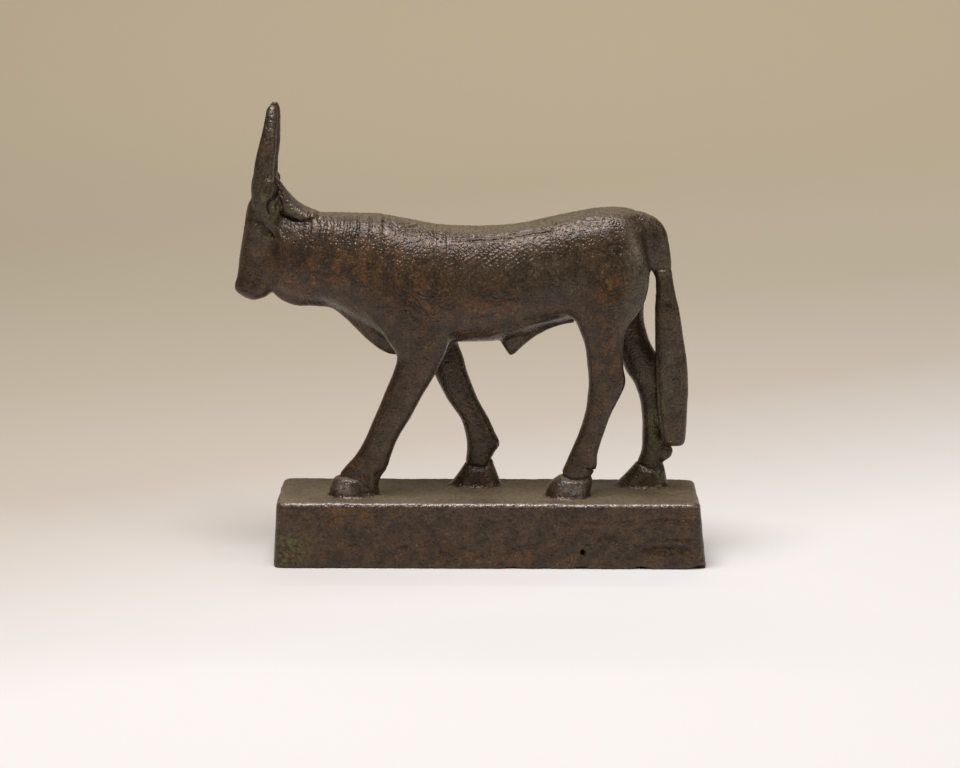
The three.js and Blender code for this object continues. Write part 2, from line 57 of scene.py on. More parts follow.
bull = {
    # X, back, underside, half the width, squareness of the section, how low the widest place sits
    "trunk": [
        (-51.2, 78.6, 65.0, 4.2, 2.2, 0.05),
        (-48.5, 79.6, 62.6, 5.6, 2.2, 0.05),
        (-44.0, 80.5, 60.8, 6.6, 2.2, 0.08),
        (-38.0, 80.75, 60.2, 7.6, 2.2, 0.1),
        (-32.0, 80.65, 57.0, 8.8, 2.2, 0.1),
        (-26.0, 80.5, 53.0, 9.7, 2.2, 0.08),
        (-20.0, 79.5, 51.2, 10.2, 2.2, 0.06),
        (-13.0, 78.2, 50.9, 10.2, 2.2, 0.05),
        (-6.0, 77.7, 50.9, 10.0, 2.2, 0.05),
        (2.0, 77.9, 51.3, 9.8, 2.2, 0.05),
        (8.0, 78.6, 53.2, 9.7, 2.2, 0.05),
        (14.0, 79.9, 55.6, 9.7, 2.2, 0.05),
        (20.0, 81.2, 57.0, 9.8, 2.2, 0.03),
        (26.0, 82.05, 57.4, 9.6, 2.2, 0.0),
        (31.0, 81.9, 58.6, 8.6, 2.2, 0.0),
        (34.4, 80.6, 60.6, 6.4, 2.1, 0.0),
        (36.4, 78.0, 64.5, 3.6, 2.0, 0.0),
    ],
    # X, top, bottom, half the width
    "dewlap": [
        (-50.6, 66.0, 62.4, 1.6),
        (-48.2, 67.0, 60.3, 2.4),
        (-45.0, 67.0, 59.1, 2.8),
        (-40.0, 66.0, 58.9, 2.6),
        (-36.5, 65.0, 58.4, 2.2),
        (-33.0, 63.0, 55.6, 1.9),
        (-28.0, 61.0, 50.65, 1.8),
        (-24.0, 59.0, 48.0, 1.7),
        (-20.5, 58.0, 47.8, 1.4),
        (-17.0, 56.0, 50.2, 1.0),
    ],
    "sheath": [
        (2.3, 52.6, 50.8, 0.6),
        (3.4, 54.0, 49.0, 1.5),
        (4.8, 55.0, 47.5, 1.9),
        (8.0, 57.0, 50.1, 1.9),
        (11.0, 58.0, 52.4, 1.7),
        (15.0, 59.0, 54.3, 1.5),
        (19.4, 60.0, 55.2, 1.1),
    ],
    # Z, front edge, back edge, outer face and inner face as distances from the mid-plane
    "leftFrontLeg": [
        (13.5, -36.8, -25.2, 9.0, 1.4),
        (15.6, -36.9, -25.4, 9.0, 1.3),
        (17.8, -36.8, -25.8, 8.9, 1.4),
        (19.5, -35.8, -25.4, 8.5, 1.8),
        (20.4, -34.9, -24.9, 8.0, 2.3),
        (22.0, -33.6, -23.8, 8.3, 2.1),
        (25.0, -31.0, -22.9, 8.1, 2.2),
        (29.4, -28.6, -21.1, 8.2, 2.3),
        (34.0, -26.7, -18.3, 8.4, 2.2),
        (39.6, -24.3, -15.3, 8.6, 2.1),
        (44.0, -22.5, -12.8, 8.9, 2.0),
        (48.6, -21.5, -10.5, 9.3, 2.0),
        (53.0, -24.6, -9.3, 9.9, 2.0),
        (58.0, -28.6, -9.0, 10.5, 2.2),
        (65.0, -29.0, -10.0, 10.7, 2.6),
        (71.0, -26.6, -12.5, 9.6, 3.4),
        (75.5, -23.0, -16.0, 6.7, 3.6),
    ],
    "rightFrontLeg": [
        (13.5, -10.6, 3.4, 9.8, 0.6),
        (15.4, -9.8, 2.9, 9.3, 0.9),
        (17.3, -8.3, 2.1, 8.8, 1.4),
        (19.4, -6.8, 1.3, 8.4, 1.9),
        (20.8, -6.0, 0.8, 7.9, 2.4),
        (23.2, -5.5, 0.9, 8.1, 2.3),
        (25.4, -5.5, 2.2, 8.2, 2.2),
        (28.0, -5.9, 1.2, 8.2, 2.3),
        (31.5, -6.9, -0.4, 8.3, 2.3),
        (36.0, -9.9, -2.9, 8.5, 2.2),
        (42.0, -13.1, -5.2, 8.8, 2.0),
        (46.0, -14.4, -6.3, 9.1, 2.0),
        (50.0, -16.6, -7.6, 9.5, 2.0),
        (55.0, -21.4, -7.0, 10.1, 2.0),
        (61.0, -25.4, -7.4, 10.7, 2.3),
        (67.5, -25.6, -9.4, 10.4, 2.8),
        (72.0, -23.2, -12.2, 9.2, 3.4),
        (75.5, -20.2, -15.4, 6.8, 3.8),
    ],
    "leftHindLeg": [
        (13.5, 12.6, 23.1, 9.0, 1.4),
        (15.6, 12.9, 23.0, 8.9, 1.3),
        (17.6, 13.4, 23.5, 8.8, 1.5),
        (19.3, 14.9, 23.7, 8.5, 1.8),
        (20.4, 16.1, 23.6, 8.0, 2.5),
        (22.4, 17.1, 24.6, 8.1, 2.4),
        (25.3, 18.4, 24.8, 8.0, 2.6),
        (30.0, 20.3, 26.1, 8.1, 2.6),
        (35.3, 21.9, 28.0, 8.3, 2.4),
        (39.0, 22.4, 29.8, 8.4, 2.3),
        (42.2, 22.6, 31.1, 8.6, 2.2),
        (46.0, 22.3, 30.6, 8.8, 2.1),
        (50.6, 21.7, 30.5, 9.1, 2.0),
        (54.5, 20.4, 31.0, 9.6, 1.9),
        (58.0, 18.6, 33.3, 10.0, 1.9),
        (62.0, 17.6, 35.5, 10.3, 1.9),
        (68.0, 18.4, 36.1, 10.3, 2.2),
        (73.5, 20.6, 35.3, 9.3, 2.8),
        (78.2, 24.2, 32.6, 6.4, 3.4),
    ],
    "rightHindLeg": [
        (13.5, 26.8, 42.6, 9.8, 0.5),
        (15.4, 28.6, 42.0, 9.3, 0.9),
        (17.2, 30.7, 41.4, 8.8, 1.4),
        (19.4, 32.7, 41.0, 8.3, 2.0),
        (21.4, 34.4, 40.9, 8.0, 2.5),
        (22.6, 35.0, 42.4, 8.1, 2.4),
        (24.4, 35.5, 42.8, 8.0, 2.4),
        (26.6, 35.6, 41.2, 8.0, 2.5),
        (31.0, 35.6, 40.0, 8.1, 2.5),
        (36.0, 35.0, 40.3, 8.3, 2.4),
        (40.0, 33.6, 41.0, 8.4, 2.3),
        (43.0, 31.6, 41.2, 8.6, 2.2),
        (46.5, 30.1, 39.0, 8.8, 2.1),
        (50.5, 27.8, 36.9, 9.1, 2.0),
        (55.0, 24.6, 35.75, 9.6, 1.9),
        (60.0, 21.6, 35.8, 10.1, 1.9),
        (67.0, 19.8, 36.1, 10.3, 2.2),
        (73.5, 21.4, 35.3, 9.3, 2.8),
        (78.2, 24.8, 32.6, 6.4, 3.4),
    ],
    # Z, forehead, jaw, half the width, squareness of the section
    "head": [
        (60.5, -55.3, -53.6, 1.4, 2.0),
        (61.2, -57.0, -51.6, 2.6, 2.1),
        (62.5, -58.7, -50.4, 3.5, 2.2),
        (64.0, -58.9, -50.2, 3.8, 2.3),
        (66.0, -58.3, -49.7, 3.7, 2.3),
        (70.0, -57.75, -49.0, 4.1, 2.4),
        (74.0, -57.15, -48.4, 4.8, 2.4),
        (78.0, -56.5, -47.8, 5.5, 2.4),
        (81.0, -56.0, -47.6, 5.6, 2.3),
        (83.2, -55.4, -48.2, 5.0, 2.2),
        (84.8, -54.0, -49.6, 3.6, 2.1),
    ],
    # Z, front edge, back edge, distance from the mid-plane, half the thickness across
    "horn": [
        (80.5, -53.6, -48.9, 3.6, 1.6),
        (84.0, -54.1, -49.0, 5.0, 1.9),
        (88.0, -54.1, -49.1, 6.2, 1.9),
        (92.0, -53.6, -49.1, 6.8, 1.8),
        (96.0, -52.7, -48.7, 6.7, 1.6),
        (100.0, -51.7, -48.5, 6.0, 1.45),
        (103.0, -51.1, -48.3, 5.1, 1.25),
        (104.8, -50.8, -48.5, 4.5, 0.95),
        (105.7, -50.1, -48.9, 4.2, 0.5),
    ],
    "disk": {"x": -51.5, "z": 91.2, "radius": 6.4, "thickness": 2.2, "rim": 0.5},
    # Z, front, back, half the width
    "cobra": [
        (82.6, -54.5, -51.5, 0.9),
        (84.4, -54.9, -51.5, 1.2),
        (87.2, -54.9, -51.5, 1.4),
        (89.4, -54.4, -51.5, 1.1),
        (91.2, -53.5, -51.5, 0.6),
    ],
    # X, ridge height, lower edge, half the width
    "support": [
        (-50.5, 90.2, 79.5, 2.2),
        (-48.3, 88.0, 79.8, 2.8),
        (-46.6, 85.7, 79.6, 3.3),
        (-44.2, 83.2, 79.2, 3.8),
        (-41.8, 81.85, 79.2, 3.9),
        (-39.6, 81.0, 79.8, 3.0),
    ],
    # place from root to tip, X, height, distance from the mid-plane, half the breadth, half the thickness
    "ear": [
        (0.0, -51.1, 81.0, 4.9, 0.9, 1.0),
        (1.0, -51.0, 83.6, 6.6, 1.0, 1.0),
        (2.0, -50.7, 86.0, 8.0, 1.8, 0.95),
        (3.0, -50.3, 88.1, 8.8, 1.55, 0.85),
        (4.0, -49.9, 89.2, 9.0, 0.6, 0.5),
    ],
    # Z, front edge, back edge, half the thickness across, place across
    "tail": [
        (26.3, 40.4, 44.9, 1.9, 0.6),
        (27.2, 40.0, 45.4, 2.5, 0.6),
        (32.0, 39.2, 45.65, 2.7, 0.6),
        (38.0, 38.6, 45.9, 2.7, 0.5),
        (44.0, 38.3, 45.65, 2.6, 0.4),
        (50.0, 38.1, 44.85, 2.4, 0.2),
        (58.0, 37.9, 43.5, 2.2, 0.0),
        (64.0, 38.05, 42.15, 2.1, 0.0),
        (67.6, 37.0, 41.6, 2.2, 0.0),
        (70.0, 33.5, 41.5, 2.4, 0.0),
        (74.0, 32.5, 40.85, 2.7, 0.0),
        (77.4, 31.5, 39.9, 2.9, 0.0),
        (79.6, 31.0, 37.9, 2.9, 0.0),
        (81.0, 30.5, 35.0, 2.4, 0.0),
    ],
}

casting = {
    "coarse": 0.4,  # mm between the points of the first, smooth skin
    "creaseRounds": 22,  # rounds of filling in the creases between the forms
    "triangles": 198000,
    "evenness": 0.02,  # how much the length of an edge counts against the shape that it holds, when it is thinned
    "farSide": 0.6,  # how deep the engraving is on the side that can't be seen, against the near one
}


# Stations to a smooth run of rows: each column is a cubic through its values, and its slope at a station is the
# rise from the station before to the one after.
def refine(stations, steps):
    rows = np.array(stations, float)
    before = np.vstack([rows[:1], rows[:-1]])
    after = np.vstack([rows[1:], rows[-1:]])
    slope = (after - before) / (after[:, :1] - before[:, :1])
    t = (np.arange(steps) / steps)[None, :, None]
    start, end = rows[:-1, None], rows[1:, None]
    span = (end - start)[..., :1]
    between = (
        (2 * t**3 - 3 * t**2 + 1) * start
        + (3 * t**2 - 2 * t**3) * end
        + (t**3 - 2 * t**2 + t) * span * slope[:-1, None]
        + (t**3 - t**2) * span * slope[1:, None]
    )
    return np.vstack([between.reshape(-1, rows.shape[1]), rows[-1:]])


# A circle's cosine and sine raised to 2 / power, signs kept: power 2 is round and higher is squarer.
def roundSquare(around, power):
    angle = 2 * np.pi * (np.arange(around) + 0.5) / around
    return [np.sign(v) * np.abs(v) ** (2 / power) for v in (np.cos(angle), np.sin(angle))]


# A closed skin over a grid of rings: two triangles between each four neighbours, and a fan from each end ring to its
# middle. The faces are turned round if the volume they close comes out negative.
def skin(grid):
    rings, around = grid.shape[:2]
    index = np.arange(rings * around).reshape(rings, around)
    a, b, c, d = index[:-1], np.roll(index, -1, 1)[:-1], np.roll(index, -1, 1)[1:], index[1:]
    first, last = index[0], index[-1]
    startPole = np.full(around, rings * around)
    faces = np.vstack([
        np.stack([a, b, c], -1).reshape(-1, 3),
        np.stack([a, c, d], -1).reshape(-1, 3),
        np.stack([startPole, np.roll(first, -1), first], -1),
        np.stack([startPole + 1, last, np.roll(last, -1)], -1),
    ])
    points = np.vstack([grid.reshape(-1, 3), grid[0].mean(0), grid[-1].mean(0)])
    p, q, r = points[faces[:, 0]], points[faces[:, 1]], points[faces[:, 2]]
    if np.einsum("ij,ij->", p, np.cross(q, r)) < 0:
        faces = faces[:, ::-1]
    return points, faces


# Upright sections along X: height from the top and bottom, breadth from the half width, the widest place lowered.
def sectionsAlongX(stations, around=64, power=2.0, low=0.0):
    rows = refine(stations, 10)
    x, top, bottom, half = (rows[:, i : i + 1] for i in range(4))
    power = rows[:, 4:5] if rows.shape[1] > 4 else power
    low = rows[:, 5:6] if rows.shape[1] > 5 else low
    across, up = roundSquare(around, power)
    y = half * across * (1 - low * up)
    z = (top + bottom) / 2 + (top - bottom) / 2 * up
    return skin(np.stack([x + 0 * y, y, z], -1))


# Level sections up Z: length from the front and back edges, breadth as the half width round a centre in Y.
def sectionsUpZ(rows, centre, half, around=48, power=2.4):
    z, front, back = (rows[:, i : i + 1] for i in range(3))
    along, across = roundSquare(around, power)
    x = (front + back) / 2 + (back - front) / 2 * along
    y = centre[:, None] + half[:, None] * across
    return skin(np.stack([x, y, z + 0 * y], -1))


def leg(stations, side):
    rows = refine(stations, 10)
    outer, inner = rows[:, 3], rows[:, 4]
    return sectionsUpZ(rows, side * (outer + inner) / 2, (outer - inner) / 2)


def horn(side):
    rows = refine(bull["horn"], 10)
    return sectionsUpZ(rows, side * rows[:, 3], rows[:, 4], 40, 2.3)


# A leaf that rises outwards. Its outer face is dished: pressed in most along the middle line, less towards the rim.
def ear(side):
    rows = refine(bull["ear"], 12)
    place, x, z, away, broad, thick = (rows[:, i : i + 1] for i in range(6))
    along, across = roundSquare(40, 2.0)
    dish = 0.75 * np.clip(np.sin(np.pi * place / 4), 0, 1) * np.exp(-((along / 0.55) ** 2)) * (across > 0)
    y = side * (away + thick * (across - dish))
    return skin(np.stack([x + broad * along, y, z - 0.35 * thick * across], -1))


# A round plate that faces along X: its profile from one face over the turned-down rim to the other, spun round X.
def disk():
    part = bull["disk"]
    half, radius, rim = part["thickness"] / 2, part["radius"], part["rim"]
    reach = np.array([0.02, radius - rim, radius - 0.2 * rim, radius, radius, radius - 0.2 * rim, radius - rim, 0.02])
    across = np.array([-half, -half, -half + 0.2 * rim, -half + rim, half - rim, half - 0.2 * rim, half, half])
    angle = 2 * np.pi * np.arange(64) / 64
    y = reach[:, None] * np.cos(angle)
    z = part["z"] + reach[:, None] * np.sin(angle)
    return skin(np.stack([part["x"] + across[:, None] + 0 * y, y, z], -1))


# A rectangle with round corners: each corner's centre plus its radius along the angle, at one height.
def roundedRectangle(length, width, radius, middle, z):
    angle = (np.arange(4)[:, None] + np.arange(9) / 8) * np.pi / 2
    signX = np.array([1, -1, -1, 1])[:, None]
    signY = np.array([1, 1, -1, -1])[:, None]
    x = middle + signX * (length / 2 - radius) + radius * np.cos(angle)
    y = signY * (width / 2 - radius) + radius * np.sin(angle)
    return np.stack([x, y, z + 0 * x], -1).reshape(-1, 3)


# The plinth as one skin: up the outside over the rounded edge, and down again inside as the hollow's wall and roof.
def plinthBlock():
    def layer(z, inset):
        rise = z / plinth["height"]
        return roundedRectangle(
            plinth["bottomLength"] + (plinth["topLength"] - plinth["bottomLength"]) * rise - 2 * inset,
            plinth["bottomWidth"] + (plinth["topWidth"] - plinth["bottomWidth"]) * rise - 2 * inset,
            max(plinth["cornerRadius"] - inset / 2, 0.6),
            plinth["topShift"] * rise,
            z,
        )

    height, edge, wall = plinth["height"], plinth["edgeRadius"], plinth["wall"]
    angle = np.linspace(0, np.pi / 2, 7)
    outside = [layer(0, 0)] + [layer(height - edge + edge * math.sin(a), edge - edge * math.cos(a)) for a in angle]
    inside = [layer(0, wall), layer(height - plinth["roof"], wall + 0.6)]
    return skin(np.array(outside[::-1] + inside))


def newMesh(name, points, faces):
    mesh = bpy.data.meshes.new(name)
    mesh.vertices.add(len(points))
    mesh.vertices.foreach_set("co", np.ascontiguousarray(points, np.float32).ravel())
    mesh.loops.add(faces.size)
    mesh.loops.foreach_set("vertex_index", np.ascontiguousarray(faces, np.int32).ravel())
    mesh.polygons.add(len(faces))
    mesh.polygons.foreach_set("loop_start", np.arange(0, faces.size, faces.shape[1], dtype=np.int32))
    mesh.update(calc_edges=True)
    mesh.validate()
    return mesh


def newObject(name, mesh):
    thing = bpy.data.objects.new(name, mesh)
    bpy.context.scene.collection.objects.link(thing)
    return thing


# The mesh that an object's modifiers give, put in place of its own.
def settle(thing):
    bpy.context.view_layer.update()
    finished = bpy.data.meshes.new_from_object(thing.evaluated_get(bpy.context.evaluated_depsgraph_get()))
    thing.modifiers.clear()
    old, thing.data = thing.data, finished
    bpy.data.meshes.remove(old)
    return finished


def readArray(collection, field, width, kind=np.float32):
    values = np.empty(len(collection) * width, kind)
    collection.foreach_get(field, values)
    return values.reshape(-1, width) if width > 1 else values


# Each point's neighbours' mean: the sums over both ends of every edge, divided by the number of edges.
def neighbourMean(values, edges, count):
    sums = [
        np.bincount(edges[:, 0], values[edges[:, 1], i], count) + np.bincount(edges[:, 1], values[edges[:, 0], i], count)
        for i in range(values.shape[1])
    ]
    return np.stack(sums, -1) / np.maximum(np.bincount(edges.ravel(), minlength=count), 1)[:, None]


# Each point's normal: the cross products of the quads' diagonals, summed over its quads and made unit length.
def pointNormals(points, quads):
    cross = np.cross(points[quads[:, 2]] - points[quads[:, 0]], points[quads[:, 3]] - points[quads[:, 1]])
    sums = np.stack([np.bincount(quads.ravel(), np.repeat(cross[:, i], 4), len(points)) for i in range(3)], -1)
    return sums / np.maximum(np.linalg.norm(sums, axis=1), 1e-9)[:, None]


# 0 below the first value, 1 above the second, and an S-curve between.
def ramp(value, low, high):
    t = np.clip((value - low) / (high - low), 0, 1)
    return t * t * (3 - 2 * t)


# 1 between the two values, falling to 0 over the soft width outside each.
def band(value, low, high, soft):
    return ramp(value, low - soft, low) * (1 - ramp(value, high, high + soft))


# A round soft spot: e to the minus of the squared distance in units of the three radii.
def spot(points, centre, radii):
    return np.exp(-(((points - np.array(centre)) / np.array(radii)) ** 2).sum(1))


# The shortest distance in the flat from each point to a line through the given points, and how far along it lies.
def fromLine(u, v, line):
    best = np.full(len(u), 1e9)
    place = np.zeros(len(u))
    start = 0.0
    for (au, av), (bu, bv) in zip(line[:-1], line[1:]):
        length = math.hypot(bu - au, bv - av)
        t = np.clip(((u - au) * (bu - au) + (v - av) * (bv - av)) / length**2, 0, 1)
        distance = np.hypot(u - au - t * (bu - au), v - av - t * (bv - av))
        nearer = distance < best
        best = np.where(nearer, distance, best)
        place = np.where(nearer, start + t * length, place)
        start += length
    return best, place


# Smooth lumps: random heights on a cubic lattice, blended between its eight corners with S-curves.
def lumps(points, size, seed):
    heights = np.random.default_rng(seed).uniform(-1, 1, (32, 32, 32))
    scaled = points / size + 100.0
    cell = np.floor(scaled).astype(int)
    t = scaled - cell
    t = t * t * (3 - 2 * t)
    total = 0.0
    for i in (0, 1):
        for j in (0, 1):
            for k in (0, 1):
                corner = heights[(cell[:, 0] + i) % 32, (cell[:, 1] + j) % 32, (cell[:, 2] + k) % 32]
                weight = np.abs(1 - i - t[:, 0]) * np.abs(1 - j - t[:, 1]) * np.abs(1 - k - t[:, 2])
                total = total + corner * weight
    return total


def buildCasting():
    block = newObject("plinth_block", newMesh("plinth_block", *plinthBlock()))
    hole = plinth["hole"]
    angle = 2 * np.pi * np.arange(24) / 24
    across = np.array([-1.0, 1.0])[:, None] * 3 * plinth["wall"] - plinth["bottomWidth"] / 2
    x = hole["x"] + hole["width"] / 2 * np.cos(angle) + 0 * across
    z = hole["z"] + hole["height"] / 2 * np.sin(angle) + 0 * across
    bore = newObject("bore", newMesh("bore", *skin(np.stack([x, across + 0 * x, z], -1))))
    cut = block.modifiers.new("bore", "BOOLEAN")
    cut.operation = "DIFFERENCE"
    cut.solver = "EXACT"
    cut.object = bore
    drilled = settle(block)
    drilled.calc_loop_triangles()
    parts = [
        (readArray(drilled.vertices, "co", 3), readArray(drilled.loop_triangles, "vertices", 3, np.int32)),
        sectionsAlongX(bull["trunk"], 96),
        sectionsAlongX(bull["dewlap"], 40),
        sectionsAlongX(bull["sheath"], 40),
        sectionsAlongX(bull["support"], 48, 2.4, 0.2),
        leg(bull["leftFrontLeg"], -1),
        leg(bull["rightFrontLeg"], 1),
        leg(bull["leftHindLeg"], -1),
        leg(bull["rightHindLeg"], 1),
        horn(-1),
        horn(1),
        ear(-1),
        ear(1),
        disk(),
    ]
    rows = refine(bull["head"], 10)
    parts.append(sectionsUpZ(rows, 0 * rows[:, 0], rows[:, 3], 72, rows[:, 4:5]))
    rows = refine(bull["cobra"], 8)
    parts.append(sectionsUpZ(rows, 0 * rows[:, 0], rows[:, 3], 24, 2.0))
    rows = refine(bull["tail"], 10)
    parts.append(sectionsUpZ(rows, rows[:, 4], rows[:, 3], 48, 2.6))
    starts = np.cumsum([0] + [len(points) for points, faces in parts])
    points = np.vstack([p for p, f in parts])
    faces = np.vstack([f + start for (p, f), start in zip(parts, starts)])
    for thing in (block, bore):
        bpy.data.objects.remove(thing)
    whole = newObject("bronze_bull_on_plinth", newMesh("bronze_bull_on_plinth", points, faces))
    voxels = whole.modifiers.new("one skin", "REMESH")
    voxels.mode = "VOXEL"
    voxels.voxel_size = casting["coarse"]
    settle(whole)
    print("one skin:", len(whole.data.vertices), "points")
    return whole


# Fills the creases as a cast skin does: where a point lies below the mean of its neighbours it rises towards it along
# its normal, round after round.
def fillCreases(mesh):
    points = readArray(mesh.vertices, "co", 3).astype(float)
    edges = readArray(mesh.edges, "vertices", 2, np.int32)
    quads = readArray(mesh.loops, "vertex_index", 1, np.int32).reshape(-1, 4)
    start = points.copy()
    fine = ramp(points[:, 2], 79, 82) * ramp(-points[:, 0], 38, 40)
    for turn in range(casting["creaseRounds"]):
        if turn % 3 == 0:
            normals = pointNormals(points, quads)
        lift = np.einsum("ij,ij->i", neighbourMean(points, edges, len(points)) - points, normals)
        lift = np.where(lift > 0.004, lift, 0) * (1 - 0.75 * fine)
        points += 0.9 * lift[:, None] * normals
    mesh.vertices.foreach_set("co", points.astype(np.float32).ravel())
    filled = np.linalg.norm(points - start, axis=1)
    print("creases filled: most", round(float(filled.max()), 2), "mm")
    return filled


# Softens the wide joins of shoulder and haunch with the trunk: each point moves towards its neighbours' mean by a share
# that is full at the join's middle and falls off as a round spot.
def softenJoins(mesh):
    points = readArray(mesh.vertices, "co", 3).astype(float)
    edges = readArray(mesh.edges, "vertices", 2, np.int32)
    share = np.zeros(len(points))
    for x, away, z, long, wide, tall in softening["joins"]:
        folded = np.stack([points[:, 0], np.abs(points[:, 1]), points[:, 2]], -1)
        share = np.maximum(share, spot(folded, (x, away, z), (long, wide, tall)))
    share = ramp(share, 0.25, 0.7)
    chosen = np.flatnonzero(share > 0)
    local = np.full(len(points), -1)
    local[chosen] = np.arange(len(chosen))
    inside = (local[edges] >= 0).all(1)
    near = local[edges[inside]]
    values, weight = points[chosen], share[chosen][:, None]
    for turn in range(softening["rounds"]):
        values = values + 0.8 * weight * (neighbourMean(values, near, len(chosen)) - values)
    points[chosen] = values
    mesh.vertices.foreach_set("co", points.astype(np.float32).ravel())
    print("joins softened:", len(chosen), "points")


softening = {
    "rounds": 120,
    # X, distance from the mid-plane, Z of the join's middle, and its reach along each
    "joins": [
        (-18.0, 9.0, 70.0, 17.0, 7.0, 13.0),
        (-26.0, 9.0, 60.0, 7.0, 6.0, 10.0),
        (-10.0, 9.0, 60.0, 6.0, 6.0, 11.0),
        (24.0, 9.0, 73.0, 12.0, 7.0, 10.0),
        (19.0, 9.5, 63.0, 7.0, 6.0, 9.0),
    ],
}


# Where a line from the viewing distance through a point of either side meets the mid-plane: the side's flat drawing.
def drawn(points):
    spread = reading["distance"] / (reading["distance"] - np.abs(points[:, 1]))
    along = reading["x"] + (points[:, 0] - reading["x"]) * spread
    rise = reading["z"] - (reading["z"] - points[:, 2]) * spread
    return along, rise


reading = {"x": 0.7, "z": 176.5, "distance": 682.0}

# Places below are read in that flat drawing, as X and height in mm. A number after a line is its width, then its depth.
neck = {
    "grooves": [-43.1, -41.5, -39.4, -38.0, -36.4, -34.85, -33.3, -31.95, -30.4, -27.5, -24.5],
    "depth": 0.21,
    "wrinkles": [
        ([(-42.9, 73.2), (-40.2, 73.1), (-37.5, 72.6)], 0.26, 0.15),
        ([(-37.3, 72.7), (-34.6, 72.2), (-32.5, 71.5)], 0.26, 0.13),
        ([(-38.5, 70.2), (-34.4, 70.0)], 0.3, 0.14),
        ([(-33.2, 69.9), (-30.3, 69.3)], 0.26, 0.1),
        ([(-41.5, 67.0), (-38.9, 66.7), (-36.6, 66.3)], 0.3, 0.14),
        ([(-35.4, 66.2), (-31.8, 65.6)], 0.26, 0.12),
        ([(-40.8, 65.1), (-37.6, 64.9)], 0.26, 0.1),
        ([(-34.4, 68.0), (-30.3, 68.3)], 0.26, 0.1),
        ([(-46.6, 64.6), (-44.9, 63.9), (-43.0, 64.4), (-42.2, 65.6)], 0.45, 0.2),
    ],
    "withers": [
        ([(-26.3, 77.8), (-24.7, 78.7), (-23.3, 79.05), (-22.0, 77.85), (-20.35, 77.25), (-18.2, 77.25), (-15.6, 78.1)], 0.24, 0.2),
        ([(-22.8, 77.1), (-20.6, 76.15), (-17.2, 75.55), (-16.25, 76.4)], 0.26, 0.18),
        ([(-21.6, 78.2), (-19.6, 78.0), (-17.4, 78.4)], 0.2, 0.12),
    ],
}

cloth = {
    "front": -9.0,
    "rear": 14.1,
    "borders": [-12.6, -9.6, 14.3, 17.7, 20.5],
    "seam": [(-8.4, 74.75), (-2.0, 75.2), (5.0, 75.8), (9.0, 76.6), (14.0, 77.25)],
    "strokePitch": 0.68,
    "rowPitch": 1.05,
    "hem": 61.5,
    "depth": 0.085,
}

headMarks = {
    # furrows: the eye's socket and slit, the mouth, the jaw, the outline of the ear, the crevice behind it, the crack
    # under the support and the groove along it
    "furrows": [
        ([(-54.9, 79.3), (-53.9, 78.8), (-52.2, 78.0), (-51.2, 76.9), (-50.2, 75.1)], 0.8, 0.55),
        ([(-50.7, 76.4), (-50.4, 75.7), (-50.0, 74.9)], 0.28, 0.6),
        ([(-57.9, 62.9), (-56.0, 62.2), (-54.2, 61.9)], 0.26, 0.22),
        ([(-49.5, 75.2), (-49.6, 70.0), (-49.4, 64.5)], 0.9, 0.22),
        ([(-51.6, 87.9), (-52.9, 86.4), (-53.3, 85.2), (-52.7, 84.0), (-52.1, 83.0)], 0.3, 0.3),
        ([(-49.7, 88.2), (-49.0, 87.0), (-48.9, 85.7), (-49.7, 84.2), (-50.0, 83.0)], 0.36, 0.55),
        ([(-48.6, 84.4), (-48.2, 82.6), (-47.7, 80.6)], 0.24, 0.4),
        ([(-48.4, 81.0), (-47.8, 80.2), (-46.5, 79.8), (-45.1, 79.0), (-44.0, 78.7)], 0.32, 0.8),
        ([(-44.0, 78.7), (-42.3, 78.6), (-40.6, 79.3)], 0.22, 0.22),
        ([(-48.6, 87.8), (-48.3, 86.0), (-47.6, 83.6)], 0.26, 0.3),
        ([(-48.0, 75.6), (-46.4, 75.0), (-44.6, 75.2)], 0.5, 0.15),
        ([(-44.3, 78.4), (-44.1, 74.9)], 0.2, 0.1),
    ],
    # ridges: the brow, the rim of the ear, the lump behind it, the lower edge of the support and the fold on the cheek
    "ridges": [
        ([(-53.9, 83.4), (-54.2, 81.6), (-54.3, 79.9)], 0.7, 0.25),
        ([(-52.6, 84.9), (-52.1, 86.7), (-50.9, 87.7), (-49.9, 87.0), (-49.6, 85.6)], 0.36, 0.25),
        ([(-49.5, 83.6), (-48.9, 82.0), (-48.5, 80.4)], 0.4, 0.4),
        ([(-47.9, 81.5), (-46.2, 80.6), (-44.4, 79.5), (-42.3, 79.3), (-40.6, 80.0)], 0.4, 0.3),
        ([(-50.9, 78.4), (-49.6, 78.0), (-48.8, 76.4), (-47.7, 74.2)], 0.4, 0.25),
        ([(-57.6, 63.6), (-55.6, 63.0), (-54.0, 62.7)], 0.4, 0.14),
        ([(-51.4, 77.0), (-50.8, 75.9), (-50.6, 74.4)], 0.25, 0.2),
        ([(-49.4, 103.0), (-49.4, 98.4), (-49.5, 95.6), (-50.2, 91.5)], 0.5, 0.16),
    ],
    # the hollow of the ear and the dark recess below it: middle, reach and depth
    "hollows": [((-51.1, 85.5), (0.75, 1.2), 0.6), ((-50.5, 81.9), (0.85, 1.6), 0.9)],
}

